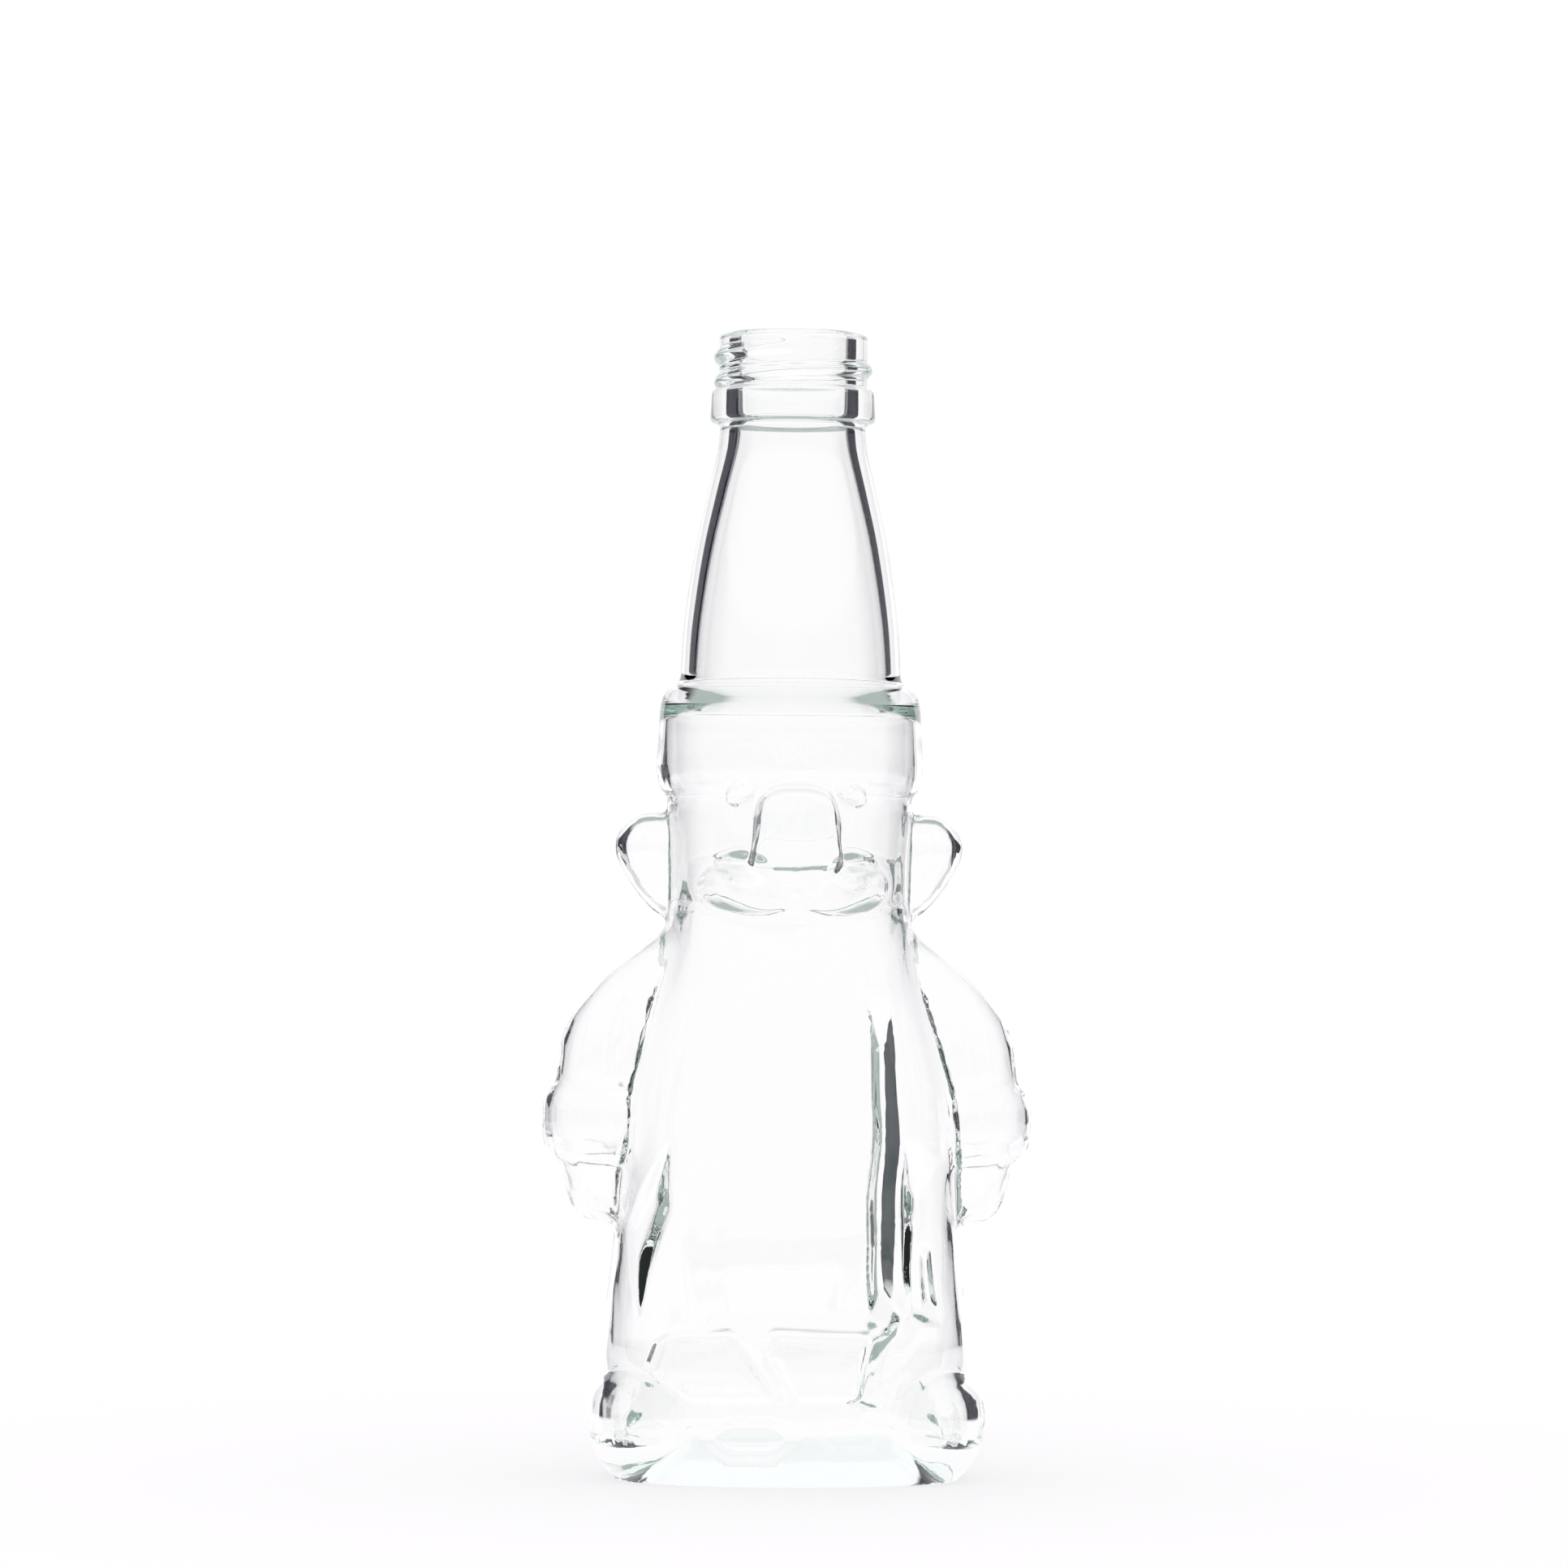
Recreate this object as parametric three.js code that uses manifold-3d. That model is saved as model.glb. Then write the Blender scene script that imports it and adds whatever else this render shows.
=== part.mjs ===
// An elf-shaped bottle of clear pressed and blown glass, in millimetres, +Z up.
// The figure stands on the plane z = 0 and looks along -Y. The axis of the neck is the Z axis.
// A blown bottle is one piece of glass. It is built as one hollow solid and then parted, at level
// planes, into the zones that a glassmaker names: base, body, head, brim, hat and finish.
import * as THREE from "three";
import { mergeVertices } from "three/addons/utils/BufferGeometryUtils.js";
import Module from "manifold-3d";

// Heights of the zones, from the table up.
const BASE_HEIGHT = 18;
const BODY_HEIGHT = 76;
const HEAD_HEIGHT = 22;
const BRIM_HEIGHT = 19;
const HAT_HEIGHT = 43.5;
const FINISH_HEIGHT = 16.5;

// Glass thickness.
const WALL = 3;
const FLOOR = 7;

// The finish: a 28 mm screw finish with a bead below its thread.
const BORE_RADIUS = 9.6;
const LIP_RADIUS = 12.7;
const LIP_ROUNDING = 1.2;
const BEAD_TOP_RADIUS = 13.95;
const BEAD_FOOT_RADIUS = 14.15;
const BEAD_HEIGHT = 5.8;
const BEAD_LIFT = 1.1;
const BEAD_ROUNDING = 0.8;
const THREAD_RADIUS = 13.7;
const THREAD_PITCH = 4.23;
const THREAD_TURNS = 1.55;
const THREAD_FOOT_WIDTH = 2.8;
const THREAD_CREST_WIDTH = 1;
const THREAD_TOP_DROP = 2.9;
const THREAD_TOP_ANGLE = -125;
const THREAD_FADE = 0.11;

// The hat, a bell that widens from the neck down to the brim.
const NECK_RADIUS = 12.5;
const NECK_LENGTH = 2.5;
const HAT_FOOT_RADIUS = 18.9;
const HAT_WAIST_RADIUS = 17.95;
const HAT_WAIST_HEIGHT = 20;

// The rolled brim, fullest near its foot.
const BRIM_RADIUS = 22.85;
const BRIM_SHOULDER_RADIUS = 22.4;
const BRIM_SHOULDER_DROP = 8;
const BRIM_FULL_HEIGHT = 5;

// The head, round, a little narrower at the neck.
const HEAD_RADIUS = 20.95;
const COLLAR_RADIUS = 20.2;

// Ears: round lobes on the parting plane that run down to a point at the neck.
const EAR_RADIUS = 6.2;
const EAR_DEPTH = 4.6;
const EAR_REACH = 23.4;
const EAR_HEIGHT = 12.7;
const EAR_TIP_LENGTH = 13.2;
const EAR_TILT = 19.5;

// Face: nose, brows tucked under the brim, and the two drops of the moustache.
const NOSE_WIDTH = 14.6;
const NOSE_HEIGHT = 10;
const NOSE_REACH = 7.4;
const NOSE_LIFT = 17.5;
const BROW_LENGTH = 6.4;
const BROW_THICKNESS = 3.2;
const BROW_REACH = 2.6;
const BROW_SPREAD = 8;
const BROW_TILT = 35;
const MOUSTACHE_RADIUS = 4.8;
const MOUSTACHE_LENGTH = 11.5;
const MOUSTACHE_SPREAD = 6.3;
const MOUSTACHE_LIFT = 8.4;
const MOUSTACHE_DROOP = 24;

// The coat: half widths and half depths from the collar down to the hem.
const COLLAR_DEPTH = 19.6;
const CHEST_WIDTH = 24.4;
const CHEST_DEPTH = 21.2;
const CHEST_LIFT = 59;
const BELLY_WIDTH = 28.1;
const BELLY_DEPTH = 22.5;
const BELLY_LIFT = 43;
const HIP_WIDTH = 29.3;
const HIP_DEPTH = 23.9;
const HIP_LIFT = 24;
const HEM_WIDTH = 31.4;
const HEM_DEPTH = 25.4;
const COAT_SQUARENESS = 2.5;

// The beard, a flat raised panel on the front with sloping edges, the right one steeper. It stands out
// fully in its middle and sinks into the coat at both ends.
const BEARD_WIDTH = 34.6;
const BEARD_RAISE = 3.7;
const BEARD_BODY = 8.8;
const BEARD_SQUARENESS = 8;
const BEARD_LEFT_SLOPE = 0.35;
const BEARD_RIGHT_SLOPE = 0.18;
const BEARD_FOOT_LIFT = 7;
const BEARD_FOOT_RAMP = 7;
const BEARD_TOP_LIFT = 4;
const BEARD_TOP_RAMP = 30;

// The two flaps of the coat below the beard.
const FLAP_WIDTH = 20.5;
const FLAP_HEIGHT = 17;
const FLAP_RAISE = 1.7;
const FLAP_BODY = 7;
const FLAP_SPREAD = 9.6;
const FLAP_LIFT = 21;

// The arms: a full sleeve from the neck, a rolled cuff and a mitten.
const SLEEVE_REACH = 39.5;
const SLEEVE_BULGE = 37.5;
const SLEEVE_BULGE_DROP = 9.5;
const SLEEVE_DEPTH = 11;
const SLEEVE_ROOT = 14;
const CUFF_REACH = 42.1;
const CUFF_HEIGHT = 12.4;
const CUFF_LIFT = 42;
const CUFF_HALF_WIDTH = 10.8;
const CUFF_DEPTH = 12.8;
const MITTEN_REACH = 38.6;
const MITTEN_TIP_REACH = 36.6;
const MITTEN_LENGTH = 11;
const MITTEN_WIDTH = 8;
const MITTEN_DEPTH = 9;
const MITTEN_ROUNDING = 3.5;

// The boots, which swell out of the base, and the plinth between them.
const BOOT_REACH = 34.4;
const BOOT_HALF_WIDTH = 10.5;
const BOOT_CROWN_INSET = 6.3;
const BOOT_HALF_LENGTH = 19;
const BOOT_FULL_HEIGHT = 11.4;
const BOOT_SOLE_REACH = 31.6;
const BOOT_FORWARD = 7;
const BOOT_SQUARENESS = 2.4;
const PLINTH_WIDTH = 29;
const PLINTH_DEPTH = 23;
const SOLE_ROUNDING = 2;

// Fineness of the facets.
const ROUND_SIDES = 40;
const COAT_SIDES = 40;
const LIMB_SIDES = 20;
const LUMP_SIDES = 16;
const CURVE_STEPS = 5;
const BEARD_STEPS = 15;
const CUFF_STEPS = 6;
const COAT_STEPS = 4;
const THREAD_STEPS = 40;

// Levels that follow from the heights.
const HEM_Z = BASE_HEIGHT;
const COLLAR_Z = HEM_Z + BODY_HEIGHT;
const BRIM_FOOT_Z = COLLAR_Z + HEAD_HEIGHT;
const HAT_FOOT_Z = BRIM_FOOT_Z + BRIM_HEIGHT;
const FINISH_FOOT_Z = HAT_FOOT_Z + HAT_HEIGHT;
const LAND_Z = FINISH_FOOT_Z + FINISH_HEIGHT;

// How far a piece is sunk into the one that it grows out of, so that the two join.
const ROOT = 2;

const wasm = await Module();
wasm.setup();

// A closed geometry as a solid that can be joined and cut.
function solidOf(geometry) {
  const bare = new THREE.BufferGeometry();
  bare.setAttribute("position", geometry.getAttribute("position"));
  bare.setIndex(geometry.getIndex());
  const merged = mergeVertices(bare, 1e-4);
  return new wasm.Manifold(
    new wasm.Mesh({
      numProp: 3,
      vertProperties: new Float32Array(merged.getAttribute("position").array),
      triVerts: new Uint32Array(merged.getIndex().array),
    }),
  );
}

// A solid as a geometry that can be shown.
function geometryOf(solid) {
  const mesh = solid.getMesh();
  const geometry = new THREE.BufferGeometry();
  geometry.setAttribute("position", new THREE.BufferAttribute(mesh.vertProperties, 3));
  geometry.setIndex(new THREE.BufferAttribute(mesh.triVerts, 1));
  geometry.computeVertexNormals();
  return geometry;
}

// Several solids grown together into one.
function joined(solids) {
  return solids.reduce((whole, solid) => whole.add(solid));
}

// A solid of revolution about the Z axis, from a profile of (radius, height) that starts and ends on it.
function revolved(profile, sides) {
  return new THREE.LatheGeometry(profile, sides).rotateX(Math.PI / 2);
}

// A geometry turned and moved to its place, as an object in a scene is.
function placed(geometry, position, rotation = new THREE.Euler()) {
  const place = new THREE.Object3D();
  place.position.copy(position);
  place.rotation.copy(rotation);
  place.updateMatrix();
  return solidOf(geometry.applyMatrix4(place.matrix));
}

// A level ring of points: a superellipse of the given half widths, listed counter-clockwise from above.
// The slopes narrow its front by these shares on the left and on the right.
function levelRing(station, sides) {
  const { x = 0, y = 0, z, halfX, halfY, squareness = 2, leftSlope = 0, rightSlope = 0 } = station;
  const bent = (value) => Math.sign(value) * Math.abs(value) ** (2 / squareness);
  return Array.from({ length: sides }, (_, side) => {
    const angle = (2 * Math.PI * side) / sides;
    const across = bent(Math.cos(angle));
    const deep = bent(Math.sin(angle));
    const slope = across > 0 ? rightSlope : leftSlope;
    const narrowed = across * (1 - slope * Math.max(-deep, 0));
    return new THREE.Vector3(x + halfX * narrowed, y + halfY * deep, z);
  });
}

// The middle of a ring of points.
function middleOf(ring) {
  return ring.reduce((sum, point) => sum.add(point), new THREE.Vector3()).divideScalar(ring.length);
}

// A closed skin over rings of as many points each, bottom ring first.
function skinned(rings) {
  const sides = rings[0].length;
  const points = rings.flat();
  const faces = [];
  for (let ring = 0; ring + 1 < rings.length; ring++) {
    for (let side = 0; side < sides; side++) {
      const here = ring * sides + side;
      const next = ring * sides + ((side + 1) % sides);
      faces.push(here, next, next + sides, here, next + sides, here + sides);
    }
  }
  const foot = points.push(middleOf(rings[0])) - 1;
  const top = points.push(middleOf(rings.at(-1))) - 1;
  const lastRing = (rings.length - 1) * sides;
  for (let side = 0; side < sides; side++) {
    const next = (side + 1) % sides;
    faces.push(foot, next, side, top, lastRing + side, lastRing + next);
  }
  return new THREE.BufferGeometry().setFromPoints(points).setIndex(faces);
}

// Stations along a height, made finer by a smooth curve through each of their values.
function smoothStations(stations, steps) {
  const keys = Object.keys(stations[0]);
  const curves = keys.map(
    (key) => new THREE.SplineCurve(stations.map((station) => new THREE.Vector2(station.z, station[key]))),
  );
  const count = steps * (stations.length - 1);
  return Array.from({ length: count + 1 }, (_, step) => {
    const share = step / count;
    return Object.fromEntries(keys.map((key, index) => [key, curves[index].getPoint(share).y]));
  });
}

// A ball at the origin that draws out to a point along -Z.
function teardrop(radius, tipLength, sides) {
  const tangent = Math.acos(radius / tipLength);
  const round = Array.from({ length: CURVE_STEPS + 1 }, (_, step) => {
    const angle = tangent + ((Math.PI - tangent) * step) / CURVE_STEPS;
    return new THREE.Vector2(radius * Math.sin(angle), -radius * Math.cos(angle));
  });
  round.at(-1).x = 0;
  return revolved([new THREE.Vector2(0, -tipLength), ...round], sides);
}

// An egg-shaped lump about the origin.
function ellipsoid(halfX, halfY, halfZ) {
  const ball = new THREE.SphereGeometry(1, LUMP_SIDES, LUMP_SIDES / 2);
  return ball.rotateX(Math.PI / 2).scale(halfX, halfY, halfZ);
}

// The outer profile of brim, hat and finish, up to the sealing land.
function upperProfile() {
  const path = new THREE.Path();
  const beadFoot = FINISH_FOOT_Z + BEAD_LIFT;
  const beadTop = beadFoot + BEAD_HEIGHT;
  path.moveTo(HEAD_RADIUS, BRIM_FOOT_Z);
  path.quadraticCurveTo(BRIM_RADIUS, BRIM_FOOT_Z + ROOT / 2, BRIM_RADIUS, BRIM_FOOT_Z + BRIM_FULL_HEIGHT);
  path.lineTo(BRIM_SHOULDER_RADIUS, HAT_FOOT_Z - BRIM_SHOULDER_DROP);
  path.quadraticCurveTo(BRIM_SHOULDER_RADIUS, HAT_FOOT_Z - ROOT, HAT_FOOT_RADIUS, HAT_FOOT_Z);
  path.quadraticCurveTo(
    HAT_WAIST_RADIUS,
    HAT_FOOT_Z + HAT_WAIST_HEIGHT,
    NECK_RADIUS,
    FINISH_FOOT_Z - NECK_LENGTH,
  );
  path.lineTo(NECK_RADIUS, beadFoot - BEAD_ROUNDING);
  path.lineTo(BEAD_FOOT_RADIUS - BEAD_ROUNDING, beadFoot);
  path.quadraticCurveTo(BEAD_FOOT_RADIUS, beadFoot, BEAD_FOOT_RADIUS, beadFoot + BEAD_ROUNDING);
  path.lineTo(BEAD_TOP_RADIUS, beadTop - BEAD_ROUNDING);
  path.quadraticCurveTo(BEAD_TOP_RADIUS, beadTop, BEAD_TOP_RADIUS - BEAD_ROUNDING, beadTop);
  path.lineTo(LIP_RADIUS, beadTop);
  path.lineTo(LIP_RADIUS, LAND_Z - LIP_ROUNDING);
  path.quadraticCurveTo(LIP_RADIUS, LAND_Z, LIP_RADIUS - LIP_ROUNDING, LAND_Z);
  return path.getPoints(CURVE_STEPS);
}

// The outside of head, brim, hat and finish, one round form.
function upperOutside() {
  const foot = COLLAR_Z - ROOT;
  const profile = [
    new THREE.Vector2(0, foot),
    new THREE.Vector2(COLLAR_RADIUS, foot),
    new THREE.Vector2(COLLAR_RADIUS, COLLAR_Z),
    ...upperProfile(),
    new THREE.Vector2(0, LAND_Z),
  ];
  return solidOf(revolved(profile, ROUND_SIDES));
}

// The hollow of head, brim, hat and finish: it follows the outside one wall further in, and ends in the bore.
function upperHollow() {
  const foot = COLLAR_Z - ROOT;
  const above = LAND_Z + ROOT;
  const mouth = BORE_RADIUS + LIP_ROUNDING / 2;
  const path = new THREE.Path();
  path.moveTo(0, foot);
  path.lineTo(COLLAR_RADIUS - WALL, foot);
  path.lineTo(HEAD_RADIUS - WALL, BRIM_FOOT_Z - WALL);
  path.quadraticCurveTo(
    BRIM_RADIUS - WALL,
    BRIM_FOOT_Z + ROOT / 2,
    BRIM_RADIUS - WALL,
    BRIM_FOOT_Z + BRIM_FULL_HEIGHT,
  );
  path.lineTo(BRIM_SHOULDER_RADIUS - WALL, HAT_FOOT_Z - BRIM_SHOULDER_DROP);
  path.quadraticCurveTo(
    BRIM_SHOULDER_RADIUS - WALL,
    HAT_FOOT_Z - ROOT,
    HAT_FOOT_RADIUS - WALL,
    HAT_FOOT_Z + WALL / 2,
  );
  path.quadraticCurveTo(HAT_WAIST_RADIUS - WALL, HAT_FOOT_Z + HAT_WAIST_HEIGHT, BORE_RADIUS, FINISH_FOOT_Z);
  path.lineTo(BORE_RADIUS, LAND_Z - LIP_ROUNDING);
  path.quadraticCurveTo(BORE_RADIUS, LAND_Z - LIP_ROUNDING / 2, mouth, LAND_Z);
  path.lineTo(mouth, above);
  path.lineTo(0, above);
  return solidOf(revolved(path.getPoints(CURVE_STEPS), ROUND_SIDES));
}

// The screw thread: one right-handed ridge, which fades out at both ends.
function thread() {
  const count = Math.round(THREAD_TURNS * THREAD_STEPS);
  const topAngle = THREE.MathUtils.degToRad(THREAD_TOP_ANGLE);
  const topZ = LAND_Z - THREAD_TOP_DROP;
  const root = LIP_RADIUS - WALL / 4;
  const rings = Array.from({ length: count + 1 }, (_, step) => {
    const share = step / count;
    const turnsDown = THREAD_TURNS * (1 - share);
    const angle = topAngle - 2 * Math.PI * turnsDown;
    const z = topZ - THREAD_PITCH * turnsDown;
    const fade = THREE.MathUtils.smoothstep(Math.min(share, 1 - share), 0, THREAD_FADE);
    const crest = THREE.MathUtils.lerp(root + WALL / 8, THREAD_RADIUS, fade);
    const corners = [
      [root, -THREAD_FOOT_WIDTH / 2],
      [root, THREAD_FOOT_WIDTH / 2],
      [crest, THREAD_CREST_WIDTH / 2],
      [crest, -THREAD_CREST_WIDTH / 2],
    ];
    return corners.map(
      ([radius, rise]) => new THREE.Vector3(radius * Math.cos(angle), radius * Math.sin(angle), z + rise),
    );
  });
  return solidOf(skinned(rings));
}

// An ear on the parting plane, its point running down to the collar.
function ear(side) {
  const lobe = teardrop(EAR_RADIUS, EAR_TIP_LENGTH, LUMP_SIDES).scale(1, EAR_DEPTH / EAR_RADIUS, 1);
  const position = new THREE.Vector3(side * EAR_REACH, 0, COLLAR_Z + EAR_HEIGHT);
  return placed(lobe, position, new THREE.Euler(0, THREE.MathUtils.degToRad(side * EAR_TILT), 0));
}

// The nose, a broad lump half sunk in the face.
function nose() {
  const lump = ellipsoid(NOSE_WIDTH / 2, NOSE_REACH, NOSE_HEIGHT / 2);
  return placed(lump, new THREE.Vector3(0, -HEAD_RADIUS, COLLAR_Z + NOSE_LIFT));
}

// An eyebrow under the brim, its inner end higher.
function brow(side) {
  const lump = ellipsoid(BROW_LENGTH / 2, BROW_REACH, BROW_THICKNESS / 2);
  const forward = Math.sqrt(HEAD_RADIUS ** 2 - BROW_SPREAD ** 2);
  const position = new THREE.Vector3(side * BROW_SPREAD, -forward, BRIM_FOOT_Z);
  return placed(lump, position, new THREE.Euler(0, THREE.MathUtils.degToRad(side * BROW_TILT), 0));
}

// Half of the moustache: a drop, round beside the nose, that points outwards and down along the cheek.
function moustache(side) {
  const drop = teardrop(MOUSTACHE_RADIUS, MOUSTACHE_LENGTH, LUMP_SIDES);
  const forward = Math.sqrt(HEAD_RADIUS ** 2 - MOUSTACHE_SPREAD ** 2);
  const round = Math.asin(MOUSTACHE_LENGTH / HEAD_RADIUS);
  const position = new THREE.Vector3(side * MOUSTACHE_SPREAD, -forward, COLLAR_Z + MOUSTACHE_LIFT);
  const outwards = -side * THREE.MathUtils.degToRad(90 - MOUSTACHE_DROOP);
  return placed(drop, position, new THREE.Euler(0, outwards, side * round, "ZYX"));
}

// Level stations of the coat from the floor of the hollow or the hem up to the collar.
function coatStations(foot, inset) {
  const stations = [
    { z: foot, halfX: HEM_WIDTH, halfY: HEM_DEPTH },
    { z: HEM_Z + HIP_LIFT, halfX: HIP_WIDTH, halfY: HIP_DEPTH },
    { z: HEM_Z + BELLY_LIFT, halfX: BELLY_WIDTH, halfY: BELLY_DEPTH },
    { z: HEM_Z + CHEST_LIFT, halfX: CHEST_WIDTH, halfY: CHEST_DEPTH },
    { z: COLLAR_Z, halfX: COLLAR_RADIUS, halfY: COLLAR_DEPTH },
  ];
  return smoothStations(stations, COAT_STEPS).map(({ z, halfX, halfY }) => ({
    z,
    halfX: halfX - inset,
    halfY: halfY - inset,
    squareness: THREE.MathUtils.mapLinear(z, foot, COLLAR_Z, COAT_SQUARENESS, 2),
  }));
}

// A solid through level stations.
function skinOf(stations, sides) {
  return solidOf(skinned(stations.map((station) => levelRing(station, sides))));
}

// The coat without its arms, down to just under the hem.
function coat() {
  return skinOf(coatStations(HEM_Z - ROOT, 0), COAT_SIDES);
}

// How far forward the coat's front lies at a height.
function coatFront(z) {
  const stations = coatStations(HEM_Z, 0);
  const above = Math.max(1, stations.findIndex((station) => station.z >= z));
  const [low, high] = [stations[above - 1], stations[above]];
  return THREE.MathUtils.mapLinear(z, low.z, high.z, low.halfY, high.halfY);
}

// The beard from the moustache down, sunk into the coat at both ends.
function beard() {
  const foot = HEM_Z + BEARD_FOOT_LIFT;
  const top = COLLAR_Z + BEARD_TOP_LIFT;
  const stations = Array.from({ length: BEARD_STEPS + 1 }, (_, step) => {
    const z = THREE.MathUtils.lerp(foot, top, step / BEARD_STEPS);
    const fromEnd = Math.min(1, (z - foot) / BEARD_FOOT_RAMP, (top - z) / BEARD_TOP_RAMP);
    const raise = BEARD_RAISE * Math.sin((Math.PI / 2) * fromEnd);
    return {
      y: BEARD_BODY - raise - coatFront(Math.min(z, COLLAR_Z)),
      z,
      halfX: BEARD_WIDTH / 2 - BEARD_RAISE + raise,
      halfY: BEARD_BODY,
      squareness: BEARD_SQUARENESS,
      leftSlope: BEARD_LEFT_SLOPE,
      rightSlope: BEARD_RIGHT_SLOPE,
    };
  });
  return skinOf(stations, LIMB_SIDES);
}

// One of the two rounded flaps of the coat below the beard.
function flap(side) {
  const lump = ellipsoid(FLAP_WIDTH / 2, FLAP_BODY, FLAP_HEIGHT / 2);
  const forward = coatFront(FLAP_LIFT) + FLAP_RAISE - FLAP_BODY;
  return placed(lump, new THREE.Vector3(side * FLAP_SPREAD, -forward, FLAP_LIFT));
}

// The sleeve's outer edge, from the collar out and down to the cuff.
function sleeveEdge() {
  return new THREE.QuadraticBezierCurve(
    new THREE.Vector2(COLLAR_RADIUS, COLLAR_Z),
    new THREE.Vector2(SLEEVE_BULGE, COLLAR_Z - SLEEVE_BULGE_DROP),
    new THREE.Vector2(SLEEVE_REACH, HEM_Z + CUFF_LIFT),
  ).getPoints(CURVE_STEPS);
}

// A sleeve, or with an inset the hollow in it, between its outer edge and a root inside the coat.
function sleeve(side, inset) {
  const stations = sleeveEdge()
    .reverse()
    .map(({ x, y: z }) => {
      const outer = x - inset;
      return {
        x: (side * (outer + SLEEVE_ROOT)) / 2,
        z: z - inset / 2,
        halfX: (outer - SLEEVE_ROOT) / 2,
        halfY: (SLEEVE_DEPTH - inset) * Math.sqrt((x - SLEEVE_ROOT) / (SLEEVE_REACH - SLEEVE_ROOT)),
      };
    });
  return skinOf(stations, LIMB_SIDES);
}

// The rolled cuff, a band round the end of the sleeve.
function cuff(side) {
  const stations = Array.from({ length: CUFF_STEPS + 1 }, (_, step) => {
    const angle = Math.PI * (step / CUFF_STEPS - 0.5);
    const bulge = Math.cos(angle) ** 0.5;
    return {
      x: side * (CUFF_REACH - CUFF_HALF_WIDTH),
      z: HEM_Z + CUFF_LIFT + (CUFF_HEIGHT / 2) * Math.sin(angle),
      halfX: CUFF_HALF_WIDTH - (1 - bulge) * ROOT,
      halfY: CUFF_DEPTH - (1 - bulge) * ROOT,
    };
  });
  return skinOf(stations, LIMB_SIDES);
}

// The hand, a solid mitten that hangs out of the cuff against the coat.
function mitten(side) {
  const top = HEM_Z + CUFF_LIFT - CUFF_HEIGHT / 2 + ROOT;
  const tip = top - ROOT - MITTEN_LENGTH;
  const level = (z, reach, narrower) => ({
    x: side * (reach - MITTEN_WIDTH),
    z,
    halfX: MITTEN_WIDTH - narrower,
    halfY: MITTEN_DEPTH - narrower,
    squareness: COAT_SQUARENESS,
  });
  const stations = [
    level(tip, MITTEN_TIP_REACH, MITTEN_ROUNDING),
    level(tip + MITTEN_ROUNDING / 3, MITTEN_TIP_REACH, MITTEN_ROUNDING / 3),
    level(tip + MITTEN_ROUNDING, MITTEN_TIP_REACH, 0),
    level(top, MITTEN_REACH, 0),
  ];
  return skinOf(stations, LIMB_SIDES);
}

// One level of a boot: it reaches out to one side and stands forward of the plinth.
function bootStation(side, z, reach, narrower) {
  return {
    x: side * (reach - BOOT_HALF_WIDTH),
    y: -BOOT_FORWARD,
    z,
    halfX: BOOT_HALF_WIDTH - narrower,
    halfY: BOOT_HALF_LENGTH - narrower,
    squareness: BOOT_SQUARENESS,
  };
}

// A boot that leans outwards from its sole and rounds over into the hem.
function boot(side) {
  const crown = Array.from({ length: CURVE_STEPS }, (_, step) => {
    const angle = (Math.PI / 2) * (step / CURVE_STEPS);
    const height = BOOT_FULL_HEIGHT + (HEM_Z - BOOT_FULL_HEIGHT) * Math.sin(angle);
    return bootStation(side, height, BOOT_REACH, BOOT_CROWN_INSET * (1 - Math.cos(angle)));
  });
  const sole = [
    bootStation(side, 0, BOOT_SOLE_REACH, SOLE_ROUNDING),
    bootStation(side, SOLE_ROUNDING / 3, BOOT_SOLE_REACH, SOLE_ROUNDING / 3),
    bootStation(side, SOLE_ROUNDING, BOOT_SOLE_REACH, 0),
  ];
  return skinOf([...sole, ...crown], LIMB_SIDES);
}

// The plinth under the coat, its lower edge rounded.
function plinth() {
  const level = (z, narrower) => ({
    z,
    halfX: PLINTH_WIDTH - narrower,
    halfY: PLINTH_DEPTH - narrower,
    squareness: COAT_SQUARENESS,
  });
  const stations = [
    level(0, SOLE_ROUNDING),
    level(SOLE_ROUNDING / 3, SOLE_ROUNDING / 3),
    level(SOLE_ROUNDING, 0),
    level(HEM_Z, 0),
  ];
  return skinOf(stations, COAT_SIDES);
}

// The hollow of the body: one wall inside coat and plinth, round at the floor, and open into the head.
function bodyHollow() {
  const foot = FLOOR;
  const narrowest = (station) => ({
    ...station,
    halfX: Math.min(station.halfX, PLINTH_WIDTH - WALL),
    halfY: Math.min(station.halfY, PLINTH_DEPTH - WALL),
  });
  const [lowest, ...rest] = coatStations(HEM_Z - ROOT, WALL);
  const floorRing = (z, narrower) => ({
    ...narrowest(lowest),
    z,
    halfX: narrowest(lowest).halfX - narrower,
    halfY: narrowest(lowest).halfY - narrower,
  });
  const floor = [
    floorRing(foot, 2 * WALL),
    floorRing(foot + WALL / 2, WALL / 2),
    floorRing(foot + 2 * WALL, 0),
  ];
  const top = { ...rest.at(-1), z: COLLAR_Z + ROOT / 2 };
  return skinOf([...floor, ...rest.slice(0, -1), top], COAT_SIDES);
}

// The whole bottle as one hollow piece of glass.
function glass() {
  const sides = [-1, 1];
  const outside = joined([
    upperOutside(),
    thread(),
    nose(),
    coat(),
    beard(),
    plinth(),
    ...sides.flatMap((side) => [ear(side), brow(side), moustache(side), flap(side)]),
    ...sides.flatMap((side) => [sleeve(side, 0), cuff(side), mitten(side), boot(side)]),
  ]);
  const hollow = joined([upperHollow(), bodyHollow(), ...sides.map((side) => sleeve(side, WALL))]);
  return outside.subtract(hollow);
}

// The stretch of a solid between two levels.
function zoneOf(solid, foot, height) {
  const span = 4 * (CUFF_REACH + HEM_DEPTH);
  const slab = new THREE.BoxGeometry(span, span, height).translate(0, 0, foot + height / 2);
  return solid.intersect(solidOf(slab));
}

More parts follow.
